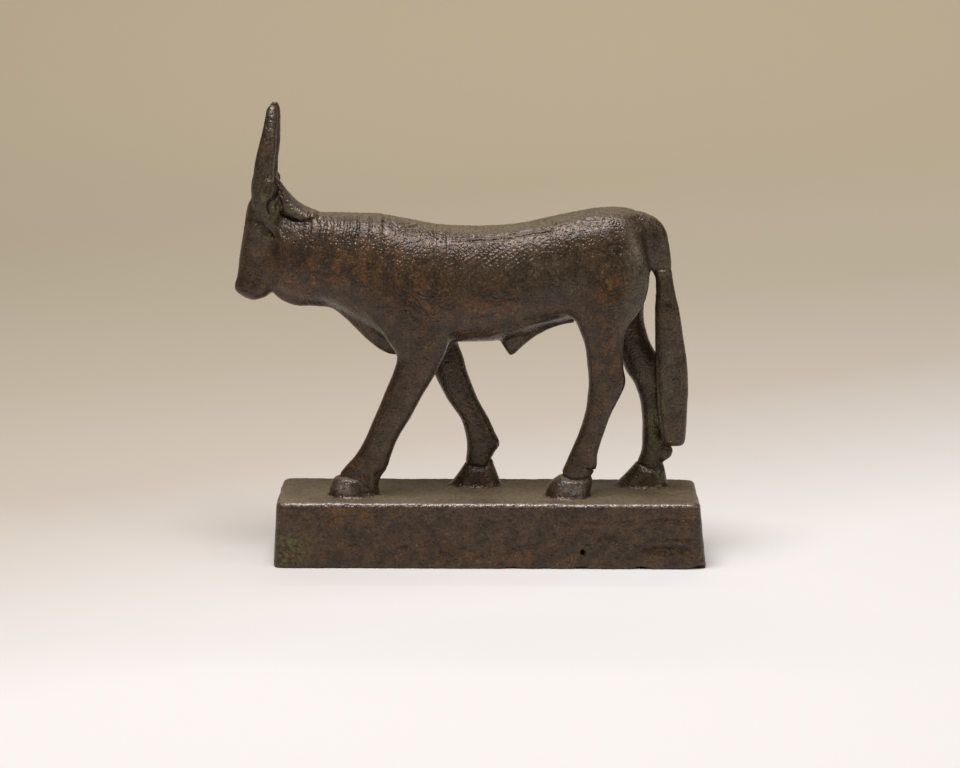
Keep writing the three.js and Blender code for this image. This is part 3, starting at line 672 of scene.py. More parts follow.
bodyMarks = {
    "ridges": [
        ([(-29.4, 58.5), (-27.0, 55.8), (-24.6, 53.3), (-22.9, 50.8), (-21.4, 48.1)], 0.45, 0.16),
        ([(-11.4, 46.9), (-10.3, 49.65), (-10.2, 51.1), (-10.0, 52.4), (-8.75, 53.4), (-7.5, 53.5)], 0.4, 0.22),
        ([(-1.5, 51.8), (4.5, 53.5), (9.1, 54.9), (15.6, 56.1), (19.4, 56.6), (21.1, 54.9)], 0.5, 0.3),
        ([(38.1, 66.8), (40.0, 67.1), (41.5, 66.7)], 0.4, 0.3),
        ([(39.4, 65.6), (40.3, 58.0), (41.9, 47.0)], 0.7, 0.14),
    ],
    "furrows": [
        ([(9.1, 53.9), (12.5, 54.6), (16.0, 55.2)], 0.4, 0.2),
        ([(-6.0, 55.2), (-1.0, 57.4), (3.3, 57.8), (6.8, 58.4)], 0.45, 0.14),
        ([(1.0, 61.5), (4.0, 60.6), (7.0, 61.2)], 0.4, 0.12),
        ([(28.2, 74.6), (29.3, 71.8), (30.2, 69.2), (31.6, 66.6)], 1.5, 0.32),
        ([(33.7, 76.7), (35.5, 74.8), (35.9, 72.9), (36.5, 68.2)], 0.6, 0.35),
        ([(32.1, 53.7), (33.0, 55.1), (34.0, 56.6)], 0.5, 0.22),
        ([(38.2, 67.8), (40.0, 68.1), (41.4, 67.8)], 0.35, 0.25),
        ([(-19.8, 62.4), (-17.4, 60.9), (-15.8, 58.6), (-14.2, 57.0)], 0.4, 0.35),
        ([(-17.6, 62.8), (-16.0, 61.6), (-14.1, 61.0)], 0.35, 0.3),
        ([(-20.6, 58.4), (-18.4, 57.6), (-16.6, 55.3)], 0.35, 0.2),
    ],
    # roughened places: the middle, the reach along and up, and the height of the roughness
    "rough": [
        ((-17.2, 59.0), (3.6, 4.4), 0.2),
        ((22.0, 69.5), (8.5, 7.0), 0.06),
        ((-23.0, 66.0), (6.0, 5.0), 0.05),
        ((37.8, 63.4), (0.9, 3.6), 0.3),
        ((39.8, 67.0), (1.6, 1.2), 0.15),
    ],
    "netStart": 20.9,
    "netEnd": 25.8,
}

# These lie on the surface itself: X and real height. The side says which legs: -1 left, 1 right.
footMarks = {
    "furrows": [
        (-1, [(-37.2, 19.6), (-36.0, 20.1), (-33.7, 20.4), (-30.7, 19.7), (-28.6, 18.1), (-26.9, 16.6)], 0.34, 0.42),
        (-1, [(-26.4, 20.3), (-25.0, 21.5), (-23.6, 22.6)], 0.3, 0.35),
        (-1, [(-29.2, 16.6), (-27.4, 16.9), (-25.4, 15.9)], 0.25, 0.25),
        (-1, [(15.4, 21.4), (17.2, 20.5), (19.0, 19.9), (21.1, 19.7), (23.6, 20.2)], 0.4, 0.55),
        (-1, [(22.2, 22.5), (24.6, 21.4)], 0.3, 0.45),
        (1, [(-6.2, 21.4), (-4.8, 20.8), (-3.2, 20.3), (-1.1, 20.3), (0.6, 22.0), (1.8, 23.0)], 0.4, 0.5),
        (1, [(34.2, 21.6), (36.0, 20.4), (38.7, 19.9), (41.4, 21.4)], 0.4, 0.4),
        (1, [(41.0, 24.9), (41.9, 24.4), (41.8, 23.3), (40.9, 23.2)], 0.28, 0.35),
    ],
    "swells": [
        # side, X and height of the middle, reach along and up, how proud
        (-1, (-33.0, 17.7), (3.6, 2.0), 0.45),
        (-1, (18.2, 17.4), (4.0, 2.0), 0.45),
        (1, (-3.0, 18.2), (3.5, 1.6), 0.2),
        (1, (37.8, 18.2), (3.2, 1.5), 0.2),
    ],
}

plinthMarks = {
    "top": 11.6,
    "bottom": 5.4,
    "columnPitch": 5.4,
    "flake": ((40.6, 4.6), (6.2, 1.25), 0.4),  # a shallow scale lost from the lower right
    "panel": [(35.4, 7.4), (35.7, 11.6), (40.0, 12.0), (46.2, 11.7), (46.0, 7.2), (35.4, 7.4)],
    "arch": [(21.9, 3.0), (22.8, 4.4), (25.0, 6.4), (26.8, 6.9), (28.6, 5.8), (30.2, 3.5)],
    "notches": [(5.2, 0.7), (20.8, 1.0), (35.0, 1.2), (48.6, 1.6), (-31.0, 0.5), (13.0, 0.6)],
}


# A furrow along a line of the flat drawing: minus its depth times e to the minus of the squared distance over the
# width, and shallower at both ends. A negative depth makes a ridge.
def furrow(height, u, v, where, line, width, depth):
    reach = 3 * width
    lows, highs = np.min(line, 0) - reach, np.max(line, 0) + reach
    close = np.flatnonzero(where & (u > lows[0]) & (u < highs[0]) & (v > lows[1]) & (v < highs[1]))
    distance, place = fromLine(u[close], v[close], line)
    length = np.hypot(*np.diff(line, axis=0).T).sum()
    ends = ramp(place, -0.01, 0.2 * length) * (1 - ramp(place, 0.8 * length, length * 1.01))
    height[close] -= depth * (0.3 + 0.7 * ends) * np.exp(-((distance / width) ** 2))


# Heights in mm over the smooth skin for the neck's ribs, its wrinkles and the wings engraved on the withers.
def neckRelief(points, along, rise, wander):
    height = np.zeros(len(points))
    body = points[:, 2] > 56
    near = np.flatnonzero(body & (along > -45) & (along < -22) & (rise > 69))
    u, v = along[near], rise[near]
    leaning = u + 0.15 * np.clip(77.5 - v, 0, 6) + 0.12 * wander[near]
    foot = np.interp(u, [-44, -41, -38, -34, -30, -27, -22], [75.0, 74.0, 74.6, 73.4, 74.0, 72.6, 71.2])
    wave = np.zeros(len(near))
    for x in neck["grooves"]:
        wave = np.maximum(wave, np.exp(-(((leaning - x) / 0.34) ** 2)))
    fade = ramp(v, foot - 0.9, foot + 1.2) * (1 - 0.7 * ramp(v, 79.0, 80.4)) * ramp(u, -44.6, -43.6)
    height[near] -= neck["depth"] * wave * fade * (1 - ramp(u, -24.0, -22.5))
    for line, width, depth in neck["wrinkles"] + neck["withers"]:
        furrow(height, along + 0.15 * wander, rise + 0.2 * wander, body, line, width, depth)
    return height


# Heights for the cloth: two seams beside the spine, feathered strokes below them and slanting rows further down, as
# waves across the lines of each pattern, and the double lines of its borders.
def clothRelief(points, along, rise, wander, patches):
    height = np.zeros(len(points))
    body = points[:, 2] > 50
    for x in cloth["borders"]:
        for side in (-0.35, 0.35):
            furrow(height, along + 0.1 * wander, rise, body, [(x + side, 80.0), (x + side, 68.0)], 0.2, 0.09)
    seam = np.array(cloth["seam"])
    near = np.flatnonzero(body & (along > -9.8) & (along < 15) & (rise > 60) & (rise < 79))
    u, v = along[near] + 0.1 * wander[near], rise[near] + 0.1 * wander[near]
    above = v - np.interp(u, seam[:, 0], seam[:, 1])
    ends = band(u, cloth["front"] + 0.4, cloth["rear"] - 0.3, 0.4)
    lines = 0.22 * np.exp(-((above / 0.2) ** 2)) + 0.16 * np.exp(-(((above + 1.0) / 0.2) ** 2)) * ramp(u, -6.5, -4.0)
    height[near] += (0.1 * np.exp(-(((above + 0.5) / 0.25) ** 2)) - lines) * ends

    strength = np.clip(0.75 + 0.5 * patches[near], 0.2, 1.1)
    change = np.interp(u, [-8.2, 9.0, 14.0], [69.8, 74.3, 75.2])
    strokes = np.cos(2 * np.pi * (0.68 * u + 0.73 * v) / cloth["strokePitch"])
    steep = np.cos(2 * np.pi * (-0.83 * u + 0.56 * v) / 0.85)
    row = (-0.56 * u + 0.83 * v) / cloth["rowPitch"]
    rows = np.cos(2 * np.pi * row)
    pits = np.cos(2 * np.pi * (0.68 * u + 0.73 * v) / 0.74)
    rear = ramp(u, 9.5, 11.0)
    upper = ramp(v, change - 0.8, change + 0.4) * (1 - ramp(above, -1.7, -1.2))
    lower = (1 - ramp(v, change - 0.8, change + 0.4)) * ramp(v, cloth["hem"], cloth["hem"] + 7)
    feathers = strokes * (1 - rear) + steep * rear
    pattern = upper * (feathers + 0.3 * rows) + lower * (0.55 * rows * (1 - 0.6 * rear) + 0.45 * pits * (0.6 - 0.4 * rows))
    height[near] += cloth["depth"] * pattern * ends * strength

    ladder = np.cos(2 * np.pi * (u + 0.6 * (v - 76.5)) / 1.45)
    height[near] += 0.07 * ladder * ramp(above, 0.7, 1.1) * band(u, -8.5, -2.8, 0.5)
    for lift in (1.25, 1.75):
        furrow(height, along, rise, body, [(x, z + lift) for x, z in cloth["seam"][2:]], 0.18, 0.09)
    spine = body & (points[:, 2] > 76.5) & (np.abs(points[:, 1]) < 4.5) & (along > -44) & (along < 27)
    near = np.flatnonzero(spine)
    notch = np.cos(2 * np.pi * (points[near, 0] + 0.2 * wander[near]) / 1.52)
    height[near] -= 0.09 * np.maximum(notch, 0) ** 3 * (1 - ramp(np.abs(points[near, 1]), 2.5, 4.5))
    return height


# Heights for the face, the ears and the support behind the horns, the same on both sides.
def headRelief(points, along, rise, wander):
    height = np.zeros(len(points))
    where = (points[:, 0] < -38) & (points[:, 2] > 57) & (np.abs(points[:, 1]) > 1.2)
    u, v = along + 0.08 * wander, rise + 0.08 * wander
    for line, width, depth in headMarks["furrows"]:
        furrow(height, u, v, where, line, width, depth)
    for line, width, depth in headMarks["ridges"]:
        furrow(height, u, v, where, line, width, -depth)
    for (x, z), (long, tall), depth in headMarks["hollows"]:
        hollow = np.exp(-(((u - x) / long) ** 2) - ((v - z) / tall) ** 2)
        height -= depth * hollow * (where & (np.abs(points[:, 1]) > 4.0))
    return height


# Heights for the folds, hollows and scars of trunk, legs and tail.
def bodyRelief(points, along, rise, wander, grit):
    height = np.zeros(len(points))
    where = (points[:, 2] > 42) & (points[:, 0] > -42)
    u, v = along + 0.15 * wander, rise + 0.15 * wander
    for line, width, depth in bodyMarks["furrows"]:
        furrow(height, u, v, where, line, width, depth)
    for line, width, depth in bodyMarks["ridges"]:
        furrow(height, u, v, where, line, width, -depth)
    for (x, z), (long, tall), rough in bodyMarks["rough"]:
        height += rough * grit * np.exp(-(((along - x) / long) ** 2) - ((rise - z) / tall) ** 2)
    net = band(along, bodyMarks["netStart"], bodyMarks["netEnd"], 0.4) * band(rise, 77.2, 79.4, 0.3)
    height -= 0.1 * net * np.maximum(np.cos(2 * np.pi * rise / 0.8) + 0.6 * np.cos(2 * np.pi * (along + rise) / 1.3), 0)
    return height


# Heights for the feet: a dark groove above each hoof and the swell of the hoof below it.
def footRelief(points, wander):
    height = np.zeros(len(points))
    u, v = points[:, 0] + 0.15 * wander, points[:, 2] + 0.2 * wander
    above = points[:, 2] > plinth["height"] + 0.3
    for side, line, width, depth in footMarks["furrows"]:
        furrow(height, u, v, above & (points[:, 1] * side > 0), line, width, depth)
    for side, (x, z), (long, tall), proud in footMarks["swells"]:
        swell = np.exp(-(((u - x) / long) ** 4) - ((v - z) / tall) ** 4)
        height += proud * swell * (above & (points[:, 1] * side > 0))
    return height


# Heights for the plinth: rows of worn strokes on its long sides that aren't letters, a lost scale, a low arch beside
# the hole, and a lower edge eaten away by noise.
def plinthRelief(points, normals, wander, grit):
    height = np.zeros(len(points))
    x, z = points[:, 0] + 0.1 * wander, points[:, 2] + 0.1 * wander
    outside = (np.abs(points[:, 1]) > 12.2) & (points[:, 2] < plinth["height"])
    chance = np.random.default_rng(8)
    for side in (-1, 1):
        face = outside & (points[:, 1] * side > 0)
        strength = 1.0 if side < 0 else 0.6
        for column in np.arange(-43.5, 33.0, plinthMarks["columnPitch"]):
            for row in np.linspace(plinthMarks["bottom"], plinthMarks["top"], 3):
                start = np.array([column, row]) + chance.uniform(-1.0, 1.0, 2)
                angle = chance.uniform(-0.35, 0.6) + chance.choice([0.0, 0.0, 1.5])
                sweepBack = chance.uniform(-0.5, 0.5)
                length = chance.uniform(1.4, 3.6) * (0.55 if angle > 1 else 1.0)
                bend = start + 0.55 * length * np.array([math.cos(angle + sweepBack), math.sin(angle + sweepBack)])
                end = start + length * np.array([math.cos(angle), math.sin(angle)])
                width, depth = chance.uniform(0.24, 0.42), chance.uniform(0.12, 0.3) * strength
                furrow(height, x, z, face, [tuple(start), tuple(bend), tuple(end)], width, depth)
        furrow(height, x, z, face, plinthMarks["panel"], 0.34, 0.24 * strength)
    near = outside & (points[:, 1] < 0)
    furrow(height, x, z, near, plinthMarks["arch"], 0.5, -0.3)
    (middle, level), (long, tall), depth = plinthMarks["flake"]
    inside = ((x - middle) / long) ** 2 + ((z - level) / tall) ** 2
    height -= near * depth * (1 - ramp(inside, 0.75, 1.15)) * (0.6 + 0.4 * np.clip((z - level) / tall, -1, 1))
    height += outside * 0.09 * grit * (1 - ramp(points[:, 2], 2.5, 7.0))
    for at, deep in plinthMarks["notches"]:
        height -= near * deep * 0.5 * np.exp(-(((points[:, 0] - at) / 1.8) ** 2) - (points[:, 2] / 0.9) ** 2)
    top = (points[:, 2] > plinth["height"] - 1.0) & (points[:, 2] < plinth["height"] + 0.8)
    height += top * (0.03 * grit + 0.05 * wander)
    return height


def fineRelief(mesh):
    points = readArray(mesh.vertices, "co", 3).astype(float)
    quads = readArray(mesh.loops, "vertex_index", 1, np.int32).reshape(-1, 4)
    normals = pointNormals(points, quads)
    along, rise = drawn(points)
    wander = lumps(points, 2.6, 2)
    patches = lumps(points, 4.5, 3)
    grit = lumps(points, 1.1, 1) + 0.6 * lumps(points, 0.75, 4)
    side = np.where(points[:, 1] < 0, 1.0, casting["farSide"])
    height = neckRelief(points, along, rise, wander) + clothRelief(points, along, rise, wander, patches)
    height = side * (height + bodyRelief(points, along, rise, wander, grit))
    height += headRelief(points, along, rise, wander) + footRelief(points, wander)
    height += plinthRelief(points, normals, wander, grit)
    height += 0.018 * grit + 0.05 * wander + 0.05 * patches
    points += height[:, None] * normals
    mesh.vertices.foreach_set("co", points.astype(np.float32).ravel())
    furrowed = mesh.attributes.new("furrow", "FLOAT", "POINT")
    furrowed.data.foreach_set("value", height.astype(np.float32))
    print("relief:", round(float(height.min()), 2), "to", round(float(height.max()), 2), "mm")


# Thins the skin to the triangles that a piece may have. Short edges go first, and the sooner the more expendable
# their place is: the hollow and the floor of the plinth before its back and the legs, the engraved sides last.
def thin(thing):
    mesh = thing.data
    points = readArray(mesh.vertices, "co", 3).astype(float)
    total = len(mesh.loops) - 2 * len(mesh.polygons)
    x, y, z = points.T
    keen = 0.45 + 0.45 * ramp(z, 52, 60) * np.where(y < 0, 1.0, 0.3)
    keen = np.maximum(keen, 0.9 * ramp(-x, 44, 48) * (z > 60))
    keen = np.maximum(keen, 0.85 * (y < -12.2) * (z < plinth["height"] + 0.5))
    keen = np.maximum(keen, 0.7 * (z > plinth["height"] + 0.5) * (z < 24) * (y < 0))
    hidden = band(z, -1, 12.6, 0.2) * band(x, -47.3, 47.3, 0.1) * band(np.abs(y), -1, 10.9, 0.1)
    keen = keen * (1 - hidden)
    group = thing.vertex_groups.new(name="expendable")
    steps = np.clip(np.round((1 - keen) * 20), 1, 19).astype(int)
    for step in range(1, 20):
        group.add(np.flatnonzero(steps == step).tolist(), step / 20, "REPLACE")
    thinning = thing.modifiers.new("thinning", "DECIMATE")
    thinning.ratio = casting["triangles"] / total
    thinning.vertex_group = "expendable"
    thinning.vertex_group_factor = casting["evenness"]
    thinning.use_collapse_triangulate = True
    settle(thing)
    print("thinned from", total, "to", len(thing.data.polygons), "triangles")


import time
clock = time.perf_counter()
bronze = buildCasting()
print("t", round(time.perf_counter() - clock, 1))
crease = fillCreases(bronze.data)
softenJoins(bronze.data)
print("t", round(time.perf_counter() - clock, 1))
creased = bronze.data.attributes.new("crease", "FLOAT", "POINT")
creased.data.foreach_set("value", crease.astype(np.float32))
finer = bronze.modifiers.new("finer", "SUBSURF")
finer.levels = finer.render_levels = 1
settle(bronze)
print("t", round(time.perf_counter() - clock, 1), len(bronze.data.vertices))
fineRelief(bronze.data)
print("t", round(time.perf_counter() - clock, 1))
thin(bronze)
print("t", round(time.perf_counter() - clock, 1))


# ---- placeholder finish
def linear(code):
    channels = [int(code[i : i + 2], 16) / 255 for i in (1, 3, 5)]
    return [c / 12.92 if c <= 0.04045 else ((c + 0.055) / 1.055) ** 2.4 for c in channels] + [1.0]


def addNode(tree, kind, settings=(), links=()):
    node = tree.nodes.new(kind)
    for name, value in dict(settings).items():
        if name in node.inputs:
            node.inputs[name].default_value = value
        else:
            setattr(node, name, value)
    for socket, source in dict(links).items():
        tree.links.new(source, node.inputs[socket])
    return node


# Leaded tin bronze, cast in a clay mould and buried for a long time: a dark brown skin of oxides that hides most of
# the metal, so it is mostly a plain gloss over brown, with rust-brown patches, a dull olive bloom where it faces up,
# green in the crevices, painted shade with dirt in the creases and furrows, rubbed metal with painted highlights on
# hooves, horn and plinth edge, and fine pits that break up the highlights.
def bronzeMaterial():
    material = bpy.data.materials.new("patinated cast bronze")
    material.use_nodes = True
    tree = material.node_tree
    shader = tree.nodes["Principled BSDF"]
    place = addNode(tree, "ShaderNodeTexCoord").outputs["Object"]

    def noise(size, detail, offset, roughness=0.6):
        moved = addNode(tree, "ShaderNodeMapping", {"Location": (offset, 0.3 * offset, 0)}, {"Vector": place})
        settings = {"Scale": 1 / (size * millimetre), "Detail": detail, "Roughness": roughness}
        return addNode(tree, "ShaderNodeTexNoise", settings, {"Vector": moved.outputs[0]}).outputs["Fac"]

    def rise(value, low, high, floor=0.0, top=1.0):
        settings = {"interpolation_type": "SMOOTHSTEP", "From Min": low, "From Max": high}
        settings |= {"To Min": floor, "To Max": top}
        return addNode(tree, "ShaderNodeMapRange", settings, {"Value": value}).outputs["Result"]

    def times(a, b):
        return addNode(tree, "ShaderNodeMath", {"operation": "MULTIPLY"}, {0: a, 1: b}).outputs[0]

    def patch(under, colour, share):
        mixed = addNode(tree, "ShaderNodeMix", {"data_type": "RGBA"}, {"Factor": share, 6: under})
        mixed.inputs[7].default_value = linear(colour)
        return mixed.outputs[2]

    def painted(name):
        return addNode(tree, "ShaderNodeAttribute", {"attribute_name": name}).outputs["Fac"]

    speckle = noise(0.5, 2, 0.43, 0.7)  # real specks are finer, and would be lost between the pixels
    grain = noise(0.7, 3, 0.0)
    blotch = noise(3.2, 5, 0.07)
    broad = noise(9.0, 4, 0.19)
    fleck = noise(1.1, 2, 0.31)
    colour = addNode(tree, "ShaderNodeMix", {"data_type": "RGBA"}, {"Factor": rise(blotch, 0.32, 0.68)})
    colour.inputs[6].default_value = linear(finish["brown"])
    colour.inputs[7].default_value = linear(finish["umber"])
    colour = colour.outputs[2]
    rust = times(rise(painted("warm"), 0.0, 1.0), rise(blotch, 0.46, 0.62))
    colour = patch(colour, finish["rust"], rust)
    amber = times(rise(painted("warm"), 0.35, 1.0), rise(fleck, 0.55, 0.68))
    colour = patch(colour, finish["amber"], amber)
    bloom = times(painted("bloom"), rise(broad, 0.3, 0.6, 0.6, 1.0))
    colour = patch(colour, finish["olive"], bloom)
    haze = times(painted("haze"), rise(blotch, 0.35, 0.6, 0.35, 1.0))
    colour = patch(colour, finish["haze"], haze)
    # Painted shade with dirt: near black in the filled creases and along the engraved furrows.
    colour = patch(colour, finish["shadeAndSoot"], painted("creaseShadeAndGrime"))
    verdigris = times(painted("green"), rise(fleck, 0.42, 0.58))
    colour = patch(colour, finish["verdigris"], verdigris)
    dust = times(rise(grain, 0.6, 0.74), rise(blotch, 0.4, 0.6, 0.15, 0.75))
    colour = patch(colour, finish["dust"], dust)
    # Rubbed metal with a painted highlight: pale lavender grey and more metallic on the hooves, the horn's rear edge
    # and the plinth's top edge.
    wearAndHighlight = times(painted("wearAndHighlight"), rise(grain, 0.3, 0.55))
    colour = patch(colour, finish["wearAndHighlight"], wearAndHighlight)
    specked = addNode(tree, "ShaderNodeHueSaturation", {}, {"Color": colour, "Value": rise(speckle, 0.3, 0.7, 0.6, 1.45)})
    tree.links.new(specked.outputs[0], shader.inputs["Base Color"])

    metal = addNode(tree, "ShaderNodeMapRange", {"To Min": finish["metallic"], "To Max": 0.8}, {"Value": wearAndHighlight})
    tree.links.new(metal.outputs["Result"], shader.inputs["Metallic"])
    shader.inputs["Specular IOR Level"].default_value = finish["shine"]
    rough = rise(grain, 0.3, 0.7, 0.22, 0.4)
    dull = addNode(tree, "ShaderNodeMix", {"data_type": "FLOAT"}, {"Factor": bloom, 2: rough})
    dull.inputs[3].default_value = 0.7
    tree.links.new(dull.outputs[0], shader.inputs["Roughness"])

    pits = addNode(tree, "ShaderNodeTexVoronoi", {"Scale": 1 / (0.8 * millimetre)}, {"Vector": place}).outputs["Distance"]
    pitted = addNode(tree, "ShaderNodeBump", {"Strength": 0.6, "Distance": 0.00014}, {"Height": rise(pits, 0.05, 0.5)})
    grainy = addNode(tree, "ShaderNodeBump", {"Strength": 0.8, "Distance": 0.00016}, {"Height": grain, "Normal": pitted.outputs[0]})
    tree.links.new(grainy.outputs[0], shader.inputs["Normal"])
    return material


finish = {
    "brown": "#33271a",
    "umber": "#4a3825",
    "rust": "#5a3a1e",
    "amber": "#704920",
    "olive": "#6d6149",
    "haze": "#574e3e",
    # painted shade with dirt, for the creases and furrows
    "shadeAndSoot": "#120e0a",
    "verdigris": "#686c34",
    "dust": "#7d7055",
    # rubbed metal with a painted highlight
    "wearAndHighlight": "#8a817a",
    "metallic": 0.25,
    "shine": 0.48,
}


# Regions of the patina, as values at the points: where the bronze is warm brown, dulled from above, green, darkened by
# painted shade with dirt in the creases and furrows, or rubbed with a painted highlight.
def paintRegions(mesh):
    points = readArray(mesh.vertices, "co", 3).astype(float)
    normals = readArray(mesh.vertices, "normal", 3).astype(float)
    crease = readArray(mesh.attributes["crease"].data, "value", 1)
    furrowed = readArray(mesh.attributes["furrow"].data, "value", 1)
    folded = np.stack([points[:, 0], np.abs(points[:, 1]), points[:, 2]], -1)
    values = {"bloom": 0.9 * ramp(normals[:, 2], 0.74, 0.95)}
    # Painted shade with dirt: darker where the creases were filled and where the furrows are engraved.
    values["creaseShadeAndGrime"] = 0.75 * ramp(crease, 0.15, 1.2) + 0.45 * ramp(-furrowed, 0.08, 0.35)
    for name, spots in patina.items():
        values[name] = sum(strength * spot(folded, centre, radii) for strength, centre, radii in spots)
    # Rubbed metal with a painted highlight along the plinth's rounded top edge.
    values["wearAndHighlight"] = np.maximum(values["wearAndHighlight"], 0.7 * plinthEdge(points))
    for name in values:
        layer = mesh.attributes.new(name, "FLOAT", "POINT")
        layer.data.foreach_set("value", np.clip(values[name], 0, 1).astype(np.float32))


# 1 on the rounded edge round the plinth's top, where the rubbed metal and its painted highlight go.
def plinthEdge(points):
    rise = points[:, 2] / plinth["height"]
    half = [(plinth["bottom" + name] + (plinth["top" + name] - plinth["bottom" + name]) * rise) / 2 for name in ("Length", "Width")]
    inside = np.minimum(half[0] - np.abs(points[:, 0] - plinth["topShift"] * rise), half[1] - np.abs(points[:, 1]))
    return band(points[:, 2], plinth["height"] - 0.7, plinth["height"] + 0.2, 0.2) * (inside < 0.8)


patina = {
    # how strong, then the middle as X, distance from the mid-plane and Z, and the reach along each, in mm
    "warm": [
        (1.0, (-43.0, 7.0, 67.0), (9.0, 6.0, 5.0)),
        (0.8, (-30.0, 9.0, 70.0), (9.0, 6.0, 5.0)),
        (0.7, (-18.0, 9.0, 66.0), (7.0, 6.0, 8.0)),
        (1.0, (-15.0, 9.0, 51.0), (2.0, 4.0, 3.0)),
        (0.6, (0.0, 9.0, 60.0), (18.0, 6.0, 4.0)),
        (0.8, (27.0, 9.0, 52.0), (3.0, 5.0, 12.0)),
        (0.6, (27.0, 9.0, 66.0), (5.0, 5.0, 6.0)),
        (0.5, (-54.0, 4.0, 70.0), (4.0, 4.0, 5.0)),
        (0.9, (-33.0, 13.4, 12.5), (7.0, 2.0, 2.5)),
        (0.9, (47.0, 13.4, 11.5), (3.0, 4.0, 3.5)),
        (0.5, (0.0, 13.4, 3.0), (50.0, 2.0, 3.5)),
    ],
    "green": [
        (1.0, (-49.2, 4.5, 82.0), (1.2, 2.5, 2.2)),
        (0.8, (-50.6, 5.0, 76.6), (1.0, 2.0, 1.6)),
        (0.8, (-51.4, 8.0, 85.6), (1.2, 2.0, 1.6)),
        (0.6, (-46.0, 13.4, 4.0), (4.0, 2.5, 4.0)),
        (0.7, (38.5, 5.0, 30.0), (1.5, 4.0, 6.0)),
        (0.5, (40.0, 0.0, 18.0), (3.0, 4.0, 2.0)),
    ],
    "haze": [
        (0.8, (33.5, 8.0, 70.0), (3.5, 5.0, 8.0)),
        (0.6, (33.0, 8.0, 60.0), (2.5, 5.0, 5.0)),
        (0.8, (28.0, 5.0, 80.5), (9.0, 7.0, 2.5)),
        (0.7, (-46.5, 6.5, 77.5), (2.8, 3.0, 2.0)),
        (0.8, (-45.5, 3.0, 83.0), (4.0, 4.0, 3.5)),
        (0.6, (-51.5, 7.0, 92.0), (2.2, 3.0, 8.0)),
        (0.5, (-54.5, 5.0, 76.0), (2.5, 3.0, 5.0)),
        (0.5, (40.0, 2.0, 72.0), (3.0, 3.0, 7.0)),
        (0.5, (41.5, 2.0, 45.0), (2.5, 3.0, 18.0)),
        (0.5, (5.0, 9.0, 70.0), (25.0, 5.0, 4.0)),
        (0.6, (-35.0, 4.0, 80.0), (10.0, 4.0, 2.0)),
    ],
    # rubbed metal with painted highlights: on the hooves, along the horn's rear edge and at its tip
    "wearAndHighlight": [
        (0.9, (-34.0, 9.2, 17.8), (2.0, 2.0, 1.3)),
        (0.9, (19.0, 9.2, 17.6), (3.0, 2.0, 1.4)),
        (0.6, (-49.6, 8.0, 100.5), (0.5, 1.5, 3.5)),
        (0.5, (-49.6, 6.5, 105.0), (0.7, 1.5, 1.5)),
    ],
}

paintRegions(bronze.data)
bronze.data.materials.clear()
bronze.data.materials.append(bronzeMaterial())
bronze.data.transform(Matrix.Scale(millimetre, 4) @ Matrix.Translation((frameShift, 0, 0)))
for polygon in [bronze.data.polygons]:
    polygon.foreach_set("use_smooth", np.ones(len(polygon), bool))
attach(bronze, "root")
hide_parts("bull_on_plinth")


# The sweep: a floor that turns up into a wall by a quarter circle, carried straight across.
def sweep():
    across = np.linspace(-1.6, 1.6, 9)
    angle = np.linspace(0, np.pi / 2, 25)
    near, far, radius, top = -0.24, 0.7, 0.9, 2.2
    y = np.concatenate([[near], far + radius * np.sin(angle), [far + radius]])
    z = np.concatenate([[0], radius - radius * np.cos(angle), [top]])
    grid = np.stack([across[None, :] + 0 * y[:, None], y[:, None] + 0 * across, z[:, None] + 0 * across], -1)
    rows, columns = grid.shape[:2]
    index = np.arange(rows * columns).reshape(rows, columns)
    quads = np.stack([index[:-1, :-1], index[:-1, 1:], index[1:, 1:], index[1:, :-1]], -1).reshape(-1, 4)
    floor = newObject("studio_sweep", newMesh("studio_sweep", grid.reshape(-1, 3), quads))
    floor.data.polygons.foreach_set("use_smooth", np.ones(len(floor.data.polygons), bool))
    return floor


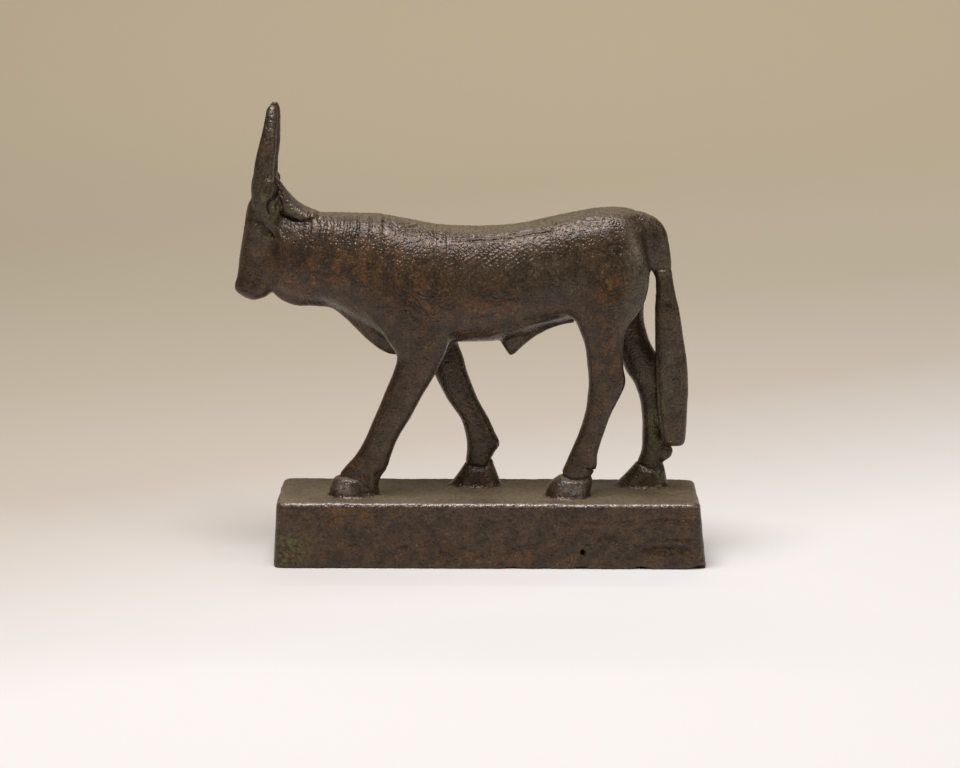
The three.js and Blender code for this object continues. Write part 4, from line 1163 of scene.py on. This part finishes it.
def sweepMaterial():
    material = bpy.data.materials.new("matt paper sweep")
    material.use_nodes = True
    tree = material.node_tree
    shader = tree.nodes["Principled BSDF"]
    shader.inputs["Roughness"].default_value = 0.9
    place = addNode(tree, "ShaderNodeTexCoord").outputs["Object"]
    back = addNode(tree, "ShaderNodeVectorMath", {"operation": "DOT_PRODUCT"}, {0: place})
    back.inputs[1].default_value = (-backdrop["slant"], 1.0, 0.0)
    settings = {"From Min": backdrop["from"], "From Max": backdrop["to"]}
    depth = addNode(tree, "ShaderNodeMapRange", settings, {"Value": back.outputs["Value"]})
    colours = addNode(tree, "ShaderNodeValToRGB", {}, {"Fac": depth.outputs["Result"]})
    ramp = colours.color_ramp
    for where, colour in backdrop["tones"][1:-1]:
        ramp.elements.new(where)
    for element, (where, colour) in zip(ramp.elements, backdrop["tones"]):
        element.position = where
        element.color = linear(colour)
    tree.links.new(colours.outputs["Color"], shader.inputs["Base Color"])
    return material


backdrop = {
    "slant": 0.8,  # how much further back the tan begins on the right, in metres for each metre along X
    "from": -0.05,
    "to": 0.65,
    "tones": [(0.0, "#ecebe8"), (0.15, "#d9d4cc"), (0.27, "#cac2b5"), (0.5, "#c0b7a4"), (1.0, "#b5ab97")],
}


floor = sweep()
floor.data.materials.append(sweepMaterial())

world = bpy.data.worlds.new("studio air")
bpy.context.scene.world = world
world.use_nodes = True
world.node_tree.nodes["Background"].inputs["Color"].default_value = linear("#dccdb2")
world.node_tree.nodes["Background"].inputs["Strength"].default_value = 0.12


def softBox(name, place, target, size, power, colour):
    light = bpy.data.lights.new(name, "AREA")
    light.shape = "RECTANGLE"
    light.size, light.size_y = size
    light.energy = power
    light.color = linear(colour)[:3]
    lamp = newObject(name, light)
    direction = np.array(target) - np.array(place)
    from mathutils import Vector

    lamp.matrix_world = Matrix.Translation(place) @ Vector(direction).to_track_quat("-Z", "Y").to_matrix().to_4x4()
    return lamp


softBox("overhead key", (-0.08, -0.16, 0.7), (0.0, 0.0, 0.07), (0.45, 0.27), 5.3, "#fbf7fb")
softBox("side fill", (0.6, -0.35, 0.4), (0.0, 0.0, 0.07), (0.3, 0.4), 0.9, "#fffaf4")
softBox("front fill", (-0.5, -0.9, 0.35), (0.0, 0.0, 0.05), (0.6, 0.6), 0.8, "#fff4e4")
softBox("backdrop light", (0.1, 0.75, 0.75), (0.1, 1.15, 0.0), (1.6, 0.3), 7.0, "#fff8ee")

cameraData = bpy.data.cameras.new("camera")
cameraData.lens = 112.5
cameraData.sensor_width = 36.0
cameraData.clip_start = 0.01
camera = newObject("camera", cameraData)
turn = Matrix.Rotation(math.radians(0.26), 4, "Z") @ Matrix.Rotation(math.radians(90 - 11.26), 4, "X")
camera.matrix_world = Matrix.Translation((0.0052, -0.6820, 0.1765)) @ turn @ Matrix.Rotation(math.radians(0.13), 4, "Z")
bpy.context.scene.camera = camera
bpy.context.scene.view_settings.view_transform = "Standard"
